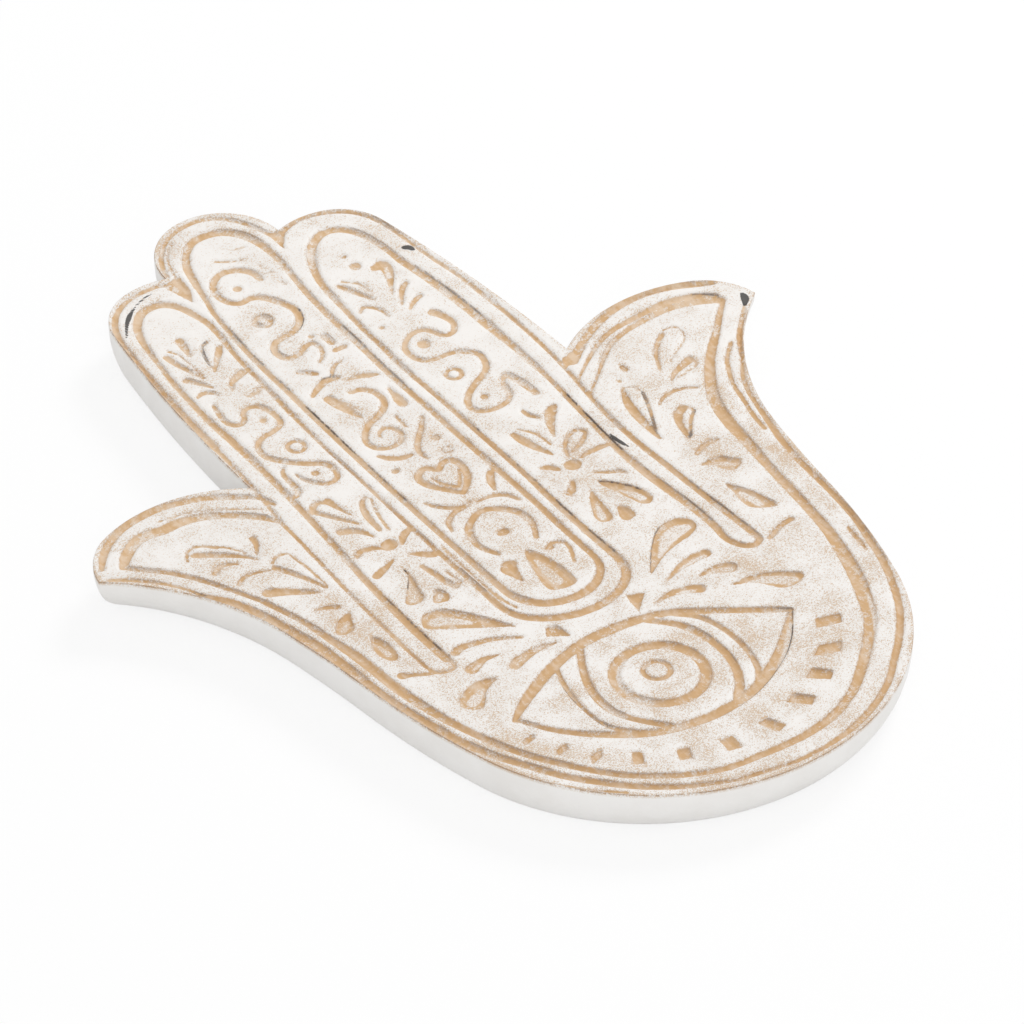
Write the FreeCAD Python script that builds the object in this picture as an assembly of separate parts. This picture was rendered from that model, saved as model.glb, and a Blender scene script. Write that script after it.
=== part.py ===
"""Hamsa hand ornament: one carved board with a keyhole hanger let into its back.

The board lies face up with its back on the ground plane. The fingers point along +Y,
and the origin is the middle of the board's footprint. Sizes are in millimetres.
"""

import FreeCAD
import Part
import math
import os

# Board
board_width = 226.0
board_height = 300.0
board_thickness = 15.0
# The sides draw in toward the back: how far down each section lies, and how much of the
# full draw it has. The full draw is a share of the outline's own size.
back_draw_share = 0.04
side_depth_shares = (0.0, 0.55, 1.0)
side_draw_shares = (0.0, 0.2, 1.0)

# Layout grid
# The outline and the carving are drawn on a fine grid, as shares of the board's own sizes:
# 226 steps across its width and 300 steps along its height, counted from its middle.
steps_across_share = 1 / 226
steps_along_share = 1 / 300

# Outline of one half, from the heel of the palm to the tip of the middle finger
heel_shares = (0.0, -150.0)
palm_side_shares = ((70.7, -96.9), (79.3, -51.4), (83.6, -19.8))
thumb_tip_shares = (113.0, 28.6)
thumb_shoulder_shares = (100.5, 43.9)
thumb_root_shares = (54.5, 38.7)
finger_flank_shares = ((46.5, 117.6), (34.3, 131.1))
finger_notch_shares = (19.5, 130.8)
middle_tip_shares = (0.0, 150.0)
thumb_rise_angle = 36.0
finger_rise_angle = 91.3

# Depths of the carving below the face
rim_step_depth = 0.9
groove_depth = 1.4
motif_depth = 1.1
cut_overrun = 1.0

# Rim: a thin edge, a narrow step, the raised band, and the wide groove inside it
edge_width = 1.1
step_width = 2.4
band_width = 4.2
wide_groove_width = 3.7
# The wide groove keeps to the palm and the thumbs. It stops at the finger roots.
finger_root_shares = (56.0, 24.0)

# Gouges
border_gouge = 3.0
bar_gouge = 2.2
lid_gouge = 3.0
scroll_gouge = 2.3
fine_gouge = 1.9

# Each line of a gouge runs in arcs, each through three of its points, end to end.
# One border runs up the ring finger and back, round the palm, and up the index finger and back.
side_fingers_shares = (
    (-55.0, -56.0), (-51.6, 0.0), (-47.4, 58.0), (-45.2, 88.0), (-42.0, 108.0),
    (-31.0, 123.2), (-21.8, 109.0), (-24.4, 84.0), (-26.0, 56.0), (-27.8, 8.0),
    (-28.6, -38.0), (-25.6, -52.0), (-12.0, -60.4), (5.6, -57.0), (11.2, -38.0),
    (12.2, 14.0), (12.6, 66.0), (14.2, 92.0), (17.2, 110.0), (28.4, 123.4), (38.6, 110.0),
    (41.8, 72.0), (42.6, 28.0), (40.6, -16.0), (40.8, -56.0),
)
# The other closes on itself round the middle finger.
middle_finger_shares = (
    (-22.8, -34.0), (-22.2, 20.0), (-20.6, 72.0), (-18.0, 102.0), (-13.0, 127.0),
    (-1.6, 141.2), (11.8, 127.0), (9.6, 100.0), (7.8, 68.0), (7.2, 20.0), (6.4, -34.0),
    (1.8, -49.0), (-8.6, -53.0), (-19.6, -46.4), (-22.8, -34.0),
)

# Outer lines of the two divider bars, and the cuts that close their feet
left_bar_shares = ((-56.4, 22.0), (-58.6, -16.0), (-60.0, -54.0))
left_foot_shares = ((-68.0, -54.6), (-61.0, -57.6), (-53.6, -58.4))
right_bar_shares = ((47.0, 19.0), (46.3, -14.0), (48.4, -57.0))
right_foot_shares = ((40.9, -56.0), (44.6, -63.8), (48.4, -57.0))

# Eye: the almond, the iris, the pupil and two lid lines on each side
almond_upper_shares = (
    (-52.6, -88.2), (-33.0, -75.4), (-9.0, -70.3), (15.4, -78.4), (35.6, -93.0),
)
almond_lower_shares = (
    (-52.6, -88.2), (-35.0, -109.0), (-10.0, -118.0), (16.4, -110.0), (35.6, -93.0),
)
iris_centre_shares = (-9.0, -94.6)
iris_radius = 14.5
iris_ring_width = 3.6
pupil_radius = 4.4
pupil_ring_width = 1.5
lid_line_shares = (
    ((-22.0, -74.0), (-30.7, -92.0), (-22.6, -112.0)),
    ((-31.0, -77.4), (-36.0, -93.0), (-28.0, -111.6)),
    ((2.0, -74.0), (10.7, -93.0), (3.4, -113.6)),
    ((10.0, -76.6), (16.9, -93.0), (12.4, -111.2)),
)

# Chips: small square cuts in a bow under the eye, each with its middle and its turn
chip_length = 5.0
chip_width = 3.2
chip_shares = (
    (-55.5, -96.6, 18.0), (-50.7, -105.5, 22.0), (-44.5, -113.6, 32.0),
    (-36.0, -120.6, 58.0), (-24.6, -127.0, 68.0), (-11.6, -130.2, 84.0),
    (2.0, -130.0, 100.0), (15.6, -126.6, 128.0), (26.6, -120.2, 142.0),
    (35.4, -112.6, 155.0), (43.4, -102.6, 163.0),
)

# Leaves: each has its sharp tail, its round head and its width, as a share of its length.
# The head is flatter than a half circle: this share of the half width.
leaf_head_share = 0.6
palm_leaf_shares = (
    (-29.5, -55.5, -50.0, -37.5, 0.30), (-31.0, -60.0, -50.0, -53.4, 0.19),
    (-46.8, -70.0, -61.0, -76.0, 0.46), (-64.2, -34.0, -65.8, -46.8, 0.30),
    (14.4, -58.2, 37.2, -42.6, 0.28), (14.6, -62.4, 33.6, -58.4, 0.15),
    (31.0, -74.8, 47.0, -82.0, 0.38), (54.8, -36.4, 58.8, -52.0, 0.34),
)
finger_leaf_shares = (
    (-37.4, 9.0, -43.4, 22.2, 0.26), (-40.2, -15.2, -46.8, -28.8, 0.34),
    (-35.8, -17.6, -32.6, -31.0, 0.32), (23.6, 2.0, 19.6, 17.0, 0.30),
    (22.4, -17.6, 17.6, -30.2, 0.34), (26.8, -15.0, 33.6, -30.2, 0.30),
    (-37.0, 87.0, -39.4, 102.0, 0.24), (29.6, 89.8, 34.4, 102.0, 0.38),
    (2.6, 56.0, 2.4, 44.0, 0.30), (-7.6, -29.6, -8.2, -48.0, 0.42),
)
thumb_leaf_shares = (
    (-71.4, 11.0, -84.0, 23.4, 0.22), (-66.0, -11.0, -79.0, -1.4, 0.24),
    (70.4, 17.4, 79.2, 29.0, 0.20), (52.4, -9.6, 56.0, 14.0, 0.20),
)

# Scrolls and small lines of the three fingers
middle_scroll_shares = (
    (2.2, 116.0), (-11.4, 117.0), (-5.0, 109.0), (2.3, 102.0), (-4.6, 90.4), (-13.4, 84.4),
    (-5.6, 76.6),
)
spiral_shares = ((-5.0, 57.4), (-1.4, 49.6), (-8.6, 44.0), (-15.6, 36.4), (-7.6, 31.6))
ring_scroll_shares = (
    (-42.0, 74.0), (-36.0, 68.0), (-30.6, 61.0), (-36.4, 56.0), (-42.6, 50.0),
    (-38.0, 42.0), (-31.0, 36.0),
)
index_scroll_shares = (
    (34.0, 74.4), (30.6, 63.2), (23.0, 67.6), (16.0, 60.6), (24.4, 56.4), (33.0, 49.6),
    (25.4, 41.4),
)
horseshoe_shares = ((-15.0, -25.4), (-17.4, -15.4), (-8.0, -6.6), (1.0, -15.0), (-2.2, -25.6))

# Keyhole hanger, on the board's centre line and above its middle
hanger_thickness = 1.6
hanger_width = 18.0
hanger_length = 52.0
hanger_rise = 62.0
keyhole_radius = 4.5
keyhole_slot_width = 4.6
keyhole_slot_length = 10.0
hanger_clearance = 0.3
# Pocket behind the keyhole, where the head of the wall screw goes
pocket_width = 13.0
pocket_depth = 8.0
pocket_margin = 2.5

# Hanger screws
screw_end_distance = 6.0
screw_shank_radius = 1.5
screw_head_radius = 3.0
screw_head_height = 1.5
screw_length = 10.0
screw_point_length = 3.0
screw_point_radius = 0.3
screw_clearance = 0.1
head_clearance = 0.25
drive_length = 4.4
drive_width = 0.8
drive_depth = 0.7

UP = FreeCAD.Vector(0, 0, 1)


def place(steps, level=board_thickness):
    """The point of the board at these grid steps, at a level above the ground plane."""
    across = steps[0] * steps_across_share * board_width
    along = steps[1] * steps_along_share * board_height
    return FreeCAD.Vector(across, along, level)


def heading_of(angle):
    """The unit direction at an angle, in degrees, from +X."""
    return FreeCAD.Vector(math.cos(math.radians(angle)), math.sin(math.radians(angle)), 0)


# Outline

def tangent_arc(start, heading, end):
    """The arc that leaves start along heading and ends at end, with its heading there."""
    chord = end - start
    along = FreeCAD.Vector(chord).normalize()
    half_turn = heading.getAngle(along)
    bisector = (heading + along).normalize()
    middle = start + bisector * (chord.Length / 2 / math.cos(half_turn / 2))
    edge = Part.Arc(start, middle, end).toShape()
    return edge, along * (2 * heading.dot(along)) - heading


def arc_chain(start, heading, stations):
    """Arcs through the stations, each tangent to the one before."""
    edges = []
    for station in stations:
        edge, heading = tangent_arc(start, heading, station)
        edges.append(edge)
        start = station
    return edges


def half_outline():
    """The right half, from the heel up to the notch beside the middle finger."""
    root = place(thumb_root_shares)
    palm = [place(steps) for steps in palm_side_shares] + [place(thumb_tip_shares)]
    thumb = [place(thumb_shoulder_shares), place(thumb_tip_shares)]
    finger = [place(steps) for steps in finger_flank_shares] + [place(finger_notch_shares)]
    edges = arc_chain(place(heel_shares), FreeCAD.Vector(1, 0, 0), palm)
    edges += arc_chain(root, heading_of(thumb_rise_angle), thumb)
    edges += arc_chain(root, heading_of(finger_rise_angle), finger)
    return edges


def outline_wire():
    """The whole outline at the level of the carved face."""
    right = half_outline()
    left = [edge.mirror(FreeCAD.Vector(0, 0, 0), FreeCAD.Vector(1, 0, 0)) for edge in right]
    notch = place(finger_notch_shares)
    opposite = FreeCAD.Vector(-notch.x, notch.y, notch.z)
    tip = Part.Arc(notch, place(middle_tip_shares), opposite).toShape()
    return Part.Wire(Part.__sortEdges__(right + [tip] + left))


def blank_board(outline):
    """The sawn board: its sides round under from the face to the smaller back."""
    sections = []
    for depth_share, draw_share in zip(side_depth_shares, side_draw_shares):
        section = outline.copy()
        section.scale(1 - draw_share * back_draw_share, FreeCAD.Vector(0, 0, board_thickness))
        section.translate(FreeCAD.Vector(0, 0, -depth_share * board_thickness))
        sections.append(section)
    return Part.makeLoft(sections, True, True)


# Carving

def sink(face, depth):
    """The cutter that sinks a flat face into the board, to a depth below its carved face."""
    cutter = face.copy()
    cutter.translate(FreeCAD.Vector(0, 0, cut_overrun))
    return cutter.extrude(FreeCAD.Vector(0, 0, -depth - cut_overrun))


def inset_face(outline, distance):
    """The face bounded by the outline moved inward by a distance."""
    return Part.Face(outline.makeOffset2D(-distance))


def rim_ring(outline, start, width):
    """A ring that follows the outline, from one inset to another."""
    return inset_face(outline, start).cut(inset_face(outline, start + width))


def finger_zone():
    """The part of the face above the finger roots and between them."""
    root = place(finger_root_shares)
    return Part.makePlane(
        root.x * 2, board_height, FreeCAD.Vector(-root.x, root.y, board_thickness)
    )


def arcs_through(points):
    """Arcs end to end, each through three of the points."""
    triples = zip(points[0::2], points[1::2], points[2::2])
    return [Part.Arc(*triple).toShape() for triple in triples]


def gouge_sides(points, width):
    """The two sides of a gouge cut along a line of arcs, and its forward steps."""
    arcs = arcs_through(points)
    closed = points[0] == points[-1]
    forward = []
    for i, point in enumerate(points):
        meeting = arcs[max(0, (i - 1) // 2):i // 2 + 1]
        if closed and i in (0, len(points) - 1):
            meeting = [arcs[-1], arcs[0]]
        headings = [arc.tangentAt(arc.Curve.parameter(point)) for arc in meeting]
        mean = (headings[0] + headings[-1]).normalize()
        forward.append(mean * (width / 2))
    left = [point + UP.cross(step) for point, step in zip(points, forward)]
    right = [point - UP.cross(step) for point, step in zip(points, forward)]
    return left, right, forward


def gouge_face(line_shares, width):
    """The floor of a gouge cut of one width, with round ends, along a line of arcs."""
    points = [place(steps) for steps in line_shares]
    left, right, forward = gouge_sides(points, width)
    end_round = Part.Arc(left[-1], points[-1] + forward[-1], right[-1]).toShape()
    start_round = Part.Arc(left[0], points[0] - forward[0], right[0]).toShape()
    edges = arcs_through(left) + [end_round] + arcs_through(right) + [start_round]
    return Part.Face(Part.Wire(Part.__sortEdges__(edges)))


def closed_gouge_face(line_shares, width):
    """The floor of a gouge cut along a line of arcs that comes back to its start."""
    left, right, _ = gouge_sides([place(steps) for steps in line_shares], width)
    outer, inner = (Part.Face(Part.Wire(arcs_through(side))) for side in (left, right))
    return outer.cut(inner)


def leaf_face(shares):
    """A leaf: straight sides that open from a sharp tail, and a round head."""
    tail = place(shares[0:2])
    head = place(shares[2:4])
    half = (head - tail).Length * shares[4] / 2
    along = (head - tail).normalize()
    side = UP.cross(along) * half
    fullest = head - along * (half * leaf_head_share)
    round_head = Part.Arc(fullest + side, head, fullest - side).toShape()
    left = Part.makeLine(tail, fullest + side)
    right = Part.makeLine(fullest - side, tail)
    return Part.Face(Part.Wire([left, round_head, right]))


def dot_face(centre, radius):
    """A round cut."""
    return Part.Face(Part.Wire(Part.makeCircle(radius, centre)))


def ring_face(centre, radius, width):
    """A round groove, measured to its outer edge."""
    return dot_face(centre, radius).cut(dot_face(centre, radius - width))


def chip_face(shares):
    """A small square cut, turned about its middle."""
    corner = FreeCAD.Vector(-chip_length / 2, -chip_width / 2, 0)
    face = Part.makePlane(chip_length, chip_width, corner)
    face.rotate(FreeCAD.Vector(0, 0, 0), UP, shares[2])
    face.translate(place(shares[0:2]))
    return face


def border_cutters(outline):
    """The rim, the finger borders, the divider bars and the almond of the eye."""
    band_start = edge_width + step_width + band_width
    wide_groove = rim_ring(outline, band_start, wide_groove_width).cut(finger_zone())
    faces = [wide_groove, gouge_face(side_fingers_shares, border_gouge)]
    faces.append(closed_gouge_face(middle_finger_shares, border_gouge))
    for line in (left_bar_shares, left_foot_shares, right_bar_shares, right_foot_shares):
        faces.append(gouge_face(line, bar_gouge))
    for line in (almond_upper_shares, almond_lower_shares):
        faces.append(gouge_face(line, lid_gouge))
    cutters = [sink(face, groove_depth) for face in faces]
    cutters.append(sink(rim_ring(outline, edge_width, step_width), rim_step_depth))
    return cutters


def motif_cutters():
    """The eye's rings and lids, the leaves, the scrolls and the chips."""
    iris = place(iris_centre_shares)
    faces = [ring_face(iris, iris_radius, iris_ring_width)]
    faces.append(ring_face(iris, pupil_radius, pupil_ring_width))
    faces += [gouge_face(line, scroll_gouge) for line in lid_line_shares]
    for table in (palm_leaf_shares, finger_leaf_shares, thumb_leaf_shares):
        faces += [leaf_face(shares) for shares in table]
    for line in (middle_scroll_shares, index_scroll_shares, horseshoe_shares):
        faces.append(gouge_face(line, scroll_gouge))
    for line in (spiral_shares, ring_scroll_shares):
        faces.append(gouge_face(line, fine_gouge))
    faces += [chip_face(shares) for shares in chip_shares]
    return [sink(face, motif_depth) for face in faces]


# Hanger and its seat

def screw_places():
    """The two screw axes on the back, as points at the ground plane."""
    reach = hanger_length / 2 - screw_end_distance
    return [FreeCAD.Vector(0, hanger_rise + step * reach, 0) for step in (1, -1)]


def keyhole_centre():
    """The middle of the round part of the keyhole, at the ground plane."""
    return FreeCAD.Vector(0, hanger_rise - keyhole_slot_length / 2, 0)


def stadium(width, length, height):
    """An upright block with round ends, its length along Y, standing on the ground plane."""
    straight = length - width
    block = Part.makeBox(
        width, straight, height, FreeCAD.Vector(-width / 2, -straight / 2, 0)
    )
    for end in (-straight / 2, straight / 2):
        block = block.fuse(Part.makeCylinder(width / 2, height, FreeCAD.Vector(0, end, 0)))
    return block.removeSplitter()


def keyhole_cutter():
    """A round hole for the head of the wall screw, with a slot above it for its neck."""
    centre = keyhole_centre()
    low = FreeCAD.Vector(0, 0, -cut_overrun)
    height = hanger_thickness + cut_overrun * 2
    cutter = Part.makeCylinder(keyhole_radius, height, centre + low)
    slot_end = centre + FreeCAD.Vector(0, keyhole_slot_length, 0)
    corner = centre + low - FreeCAD.Vector(keyhole_slot_width / 2, 0, 0)
    slot = Part.makeBox(keyhole_slot_width, keyhole_slot_length, height, corner)
    round_end = Part.makeCylinder(keyhole_slot_width / 2, height, slot_end + low)
    return cutter.fuse([slot, round_end])


def head_cone(radius_change):
    """The countersunk head's cone, larger by a change, with its wide end at the ground plane."""
    return Part.makeCone(
        screw_head_radius + radius_change, screw_shank_radius + radius_change, screw_head_height
    )


def keyhole_hanger():
    """The stamped hanger, flush with the back."""
    hanger = stadium(hanger_width, hanger_length, hanger_thickness)
    hanger.translate(FreeCAD.Vector(0, hanger_rise, 0))
    hole = Part.makeCylinder(
        screw_shank_radius + head_clearance, hanger_thickness + cut_overrun * 2,
        FreeCAD.Vector(0, 0, -cut_overrun)
    )
    for axis in screw_places():
        cutter = hole.fuse(head_cone(head_clearance))
        cutter.translate(axis)
        hanger = hanger.cut(cutter)
    return hanger.cut(keyhole_cutter())


def hanger_screw(axis):
    """A countersunk wood screw, its head flush with the back and its slot across the board."""
    shank_length = screw_length - screw_head_height - screw_point_length
    shank = Part.makeCylinder(
        screw_shank_radius, shank_length, FreeCAD.Vector(0, 0, screw_head_height)
    )
    point = Part.makeCone(
        screw_shank_radius, screw_point_radius, screw_point_length,
        FreeCAD.Vector(0, 0, screw_length - screw_point_length)
    )
    screw = head_cone(0).fuse([shank, point]).removeSplitter()
    corner = FreeCAD.Vector(-drive_length / 2, -drive_width / 2, -cut_overrun)
    drive = Part.makeBox(drive_length, drive_width, drive_depth + cut_overrun, corner)
    screw = screw.cut(drive)
    screw.translate(axis)
    return screw


def seat_cutters():
    """The recess for the hanger, the pocket behind its keyhole and the pilot holes."""
    low = FreeCAD.Vector(0, 0, -cut_overrun)
    recess = stadium(
        hanger_width + hanger_clearance * 2, hanger_length + hanger_clearance * 2,
        hanger_thickness + cut_overrun
    )
    recess.translate(FreeCAD.Vector(0, hanger_rise, 0) + low)
    pocket_length = keyhole_slot_length + keyhole_radius * 2 + pocket_margin * 2
    pocket = stadium(pocket_width, pocket_length, pocket_depth + cut_overrun)
    pocket.translate(FreeCAD.Vector(0, hanger_rise, 0) + low)
    cutters = [recess, pocket]
    for axis in screw_places():
        pilot = Part.makeCylinder(
            screw_shank_radius + screw_clearance, screw_length + screw_clearance, axis
        )
        cutters.append(pilot)
    return cutters


def hand_board():
    """The whole hand: sawn, rounded under, carved, and recessed for its hanger."""
    outline = outline_wire()
    board = blank_board(outline)
    board = board.cut(seat_cutters())
    board = board.cut(border_cutters(outline))
    return board.cut(motif_cutters())


upper_axis, lower_axis = screw_places()
parts = {
    "hand_board": hand_board(),
    "keyhole_hanger": keyhole_hanger(),
    "hanger_screw_upper": hanger_screw(upper_axis),
    "hanger_screw_lower": hanger_screw(lower_axis),
}

os.makedirs("parts", exist_ok=True)
for name, shape in parts.items():
    shape.exportStep("parts/" + name + ".step")
    box = shape.BoundBox
    print(name, len(shape.Solids), "solids", round(shape.Volume), "mm3", shape.isValid())
    print("   x %.2f..%.2f  y %.2f..%.2f  z %.2f..%.2f"
          % (box.XMin, box.XMax, box.YMin, box.YMax, box.ZMin, box.ZMax))
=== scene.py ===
import math

import bmesh
import bpy
import numpy as np
from mathutils import Matrix, Vector, kdtree


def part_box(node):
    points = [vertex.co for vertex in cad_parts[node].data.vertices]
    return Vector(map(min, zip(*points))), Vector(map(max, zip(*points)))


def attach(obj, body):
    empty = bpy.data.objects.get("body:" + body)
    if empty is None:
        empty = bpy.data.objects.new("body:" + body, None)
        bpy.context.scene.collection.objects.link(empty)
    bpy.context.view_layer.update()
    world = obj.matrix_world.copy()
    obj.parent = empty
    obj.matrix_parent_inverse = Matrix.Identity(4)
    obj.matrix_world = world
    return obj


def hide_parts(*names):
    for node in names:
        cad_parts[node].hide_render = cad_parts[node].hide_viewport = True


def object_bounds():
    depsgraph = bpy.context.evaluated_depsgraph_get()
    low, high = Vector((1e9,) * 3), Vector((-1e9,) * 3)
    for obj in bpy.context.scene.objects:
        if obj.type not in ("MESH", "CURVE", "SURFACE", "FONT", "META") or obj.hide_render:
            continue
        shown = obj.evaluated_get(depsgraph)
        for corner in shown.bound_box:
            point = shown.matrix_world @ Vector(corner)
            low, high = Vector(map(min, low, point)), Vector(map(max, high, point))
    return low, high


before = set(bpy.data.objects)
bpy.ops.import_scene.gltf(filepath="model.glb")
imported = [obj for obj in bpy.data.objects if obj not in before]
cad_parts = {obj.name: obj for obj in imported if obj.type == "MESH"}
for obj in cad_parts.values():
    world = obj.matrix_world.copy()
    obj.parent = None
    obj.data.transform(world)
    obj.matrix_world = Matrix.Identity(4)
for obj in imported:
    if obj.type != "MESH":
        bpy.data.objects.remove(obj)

bl_info = {
    "name": "Hamsa hand ornament",
    "version": (1, 0, 0),
    "blender": (4, 5, 0),
    "location": "3D View > Sidebar > Hamsa",
    "description": "Builds a carved, whitewashed hamsa hand with its hanger, its screws and its stage",
    "category": "Mesh",
}

BODY = "root"
BOX_LOW, BOX_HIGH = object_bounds()
MM = 0.001

# Everything down to the stage is in millimetres, apart from shares, powers, counts and angles.

# The size at which the hand is drawn.
DRAWN_WIDTH, DRAWN_HEIGHT, DRAWN_THICKNESS = 226, 300, 15

# Full depths of the cuts. A narrow groove is less deep, and none starts from less than the last.
GROOVE_DEPTH, DROP_DEPTH, STROKE_DEPTH, DOT_DEPTH, LEAST_DEPTH = 1.1, 1.05, 0.95, 0.8, 0.3

# The wall of a cut: how far outside the drawn edge it starts, and how wide it is.
WALL_TOP, WALL_WIDTH = 0.55, 1.4

# How far the paint changes beyond a cut, the edge of the board and a line of painted shadow and dirt.
REACH, LIP_REACH, DIRT_AND_SHADOW_REACH = 2.4, 4, 1.6
DIRT_AND_SHADOW_WIDTH = 0.6

# How near to a cut the paint is made to think a speckled patch is.
SCUFF_LEVEL = 0.26

# Steps between the points of lines, points of a line that are measured together, and the bend
# below which an arc counts as straight.
OUTLINE_STEP, STROKE_STEP, NICK_STEP, RUBBED_STEP = 0.2, 0.45, 0.3, 1.5
LINE_PART = 20
STRAIGHT_BEND = 1e-6

# One point in so many of the outline tells inside from outside. The grid ends this share of a
# cell inside the outline, and points of its edge closer than the second share are merged.
COARSE = 4
RIM_GAP_SHARE, MERGE_SHARE = 0.42, 0.3
TRIM_PASSES, EASED_ROWS, EASE_PASSES = 3, 2, 4

# Degrees between two faces from which their edge is drawn sharp.
SHARP_ANGLE = 62

# Rings of the side from the face to the back: how far in, how deep, and how much it is face.
SIDE_RINGS = (
    (0.22, 0.0, 1), (0.06, 0.12, 1), (0.0, 0.4, 0.9), (0.0, 1.4, 0), (0.0, 3.4, 0),
    (0.0, 5.8, 0), (0.0, 8.2, 0), (0.0, 10.4, 0), (0.0, 12.2, 0), (0.0, 13.5, 0),
    (0.12, 14.4, 0), (0.6, 14.9, 0), (1.2, 15.0, 0),
)

# The side draws in by this share of the board, mostly near the back.
BACK_DRAW_SHARE, DRAW_POWER = 0.04, 2.6

# Outward of this share of the half width and below this share of the height, the sides of the
# thumbs are also tucked in and up toward the back.
THUMB_START_SHARE, THUMB_TOP_SHARE = 0.62, 0.147
TUCK_IN_SHARE, TUCK_UP_SHARE, TUCK_POWER = 0.24, 1.15, 2.2

# What the paint has to know of a place on the side or the back.
PLAIN = {"cut": REACH, "pale": REACH, "nick": REACH, "dirt_and_shadow": 0, "worn": 0}

# The seat in the back: the hanger's recess, the pocket behind its keyhole and the two pilots.
RECESS_WIDTH, RECESS_LENGTH, RECESS_DEPTH, RECESS_STEPS = 18.6, 52.6, 1.6, 24
POCKET_WIDTH, POCKET_LENGTH, POCKET_DEPTH, POCKET_STEPS = 13, 24, 6.4, 20
PILOT_RADIUS, PILOT_REACH, PILOT_DEPTH, PILOT_STEPS = 1.6, 20, 8.5, 24

# The stage, in metres: the floor, and each lamp's name, place, share of the power and size.
FLOOR_REACH, FLOOR_DROP = 6, 0.0002
LAMPS = (
    ("key_lamp", (1.7, 0.7, 1.5), 1.1, 0.9),
    ("fill_lamp", (-1.0, -1.6, 1.5), 0.55, 1.8),
)
# Walls that face this way, away from the key lamp, get painted shade.
AWAY_FROM_LAMP = (-0.94, -0.34, 0)

# The camera: its focal length and frame in pixels, its sensor, its place and its directions.
FOCAL_PIXELS, PHOTO_PIXELS, SENSOR_WIDTH = 20000, 1024, 36
CAMERA_PLACE = (-2.54007, -3.57139, 3.50530)
CAMERA_AHEAD = (0.45387, 0.63616, -0.62394)
CAMERA_RIGHT = (0.81406, -0.58078, 0)

# All places below are millimetres on the carved face: x to the right, y to the fingertips.

# Half of the outline, as runs of arcs that join smoothly. Each run has its first heading.
PALM_RUN = (0, ((0, -150), (70.7, -96.9), (79.3, -51.4), (83.6, -19.8), (113, 28.6)))
THUMB_RUN = (36, ((54.5, 38.7), (100.5, 43.9), (113, 28.6)))
FINGER_RUN = (91.3, ((54.5, 38.7), (46.5, 117.6), (34.3, 131.1), (19.5, 130.8)))
FINGERTIP = (0, 150)

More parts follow.
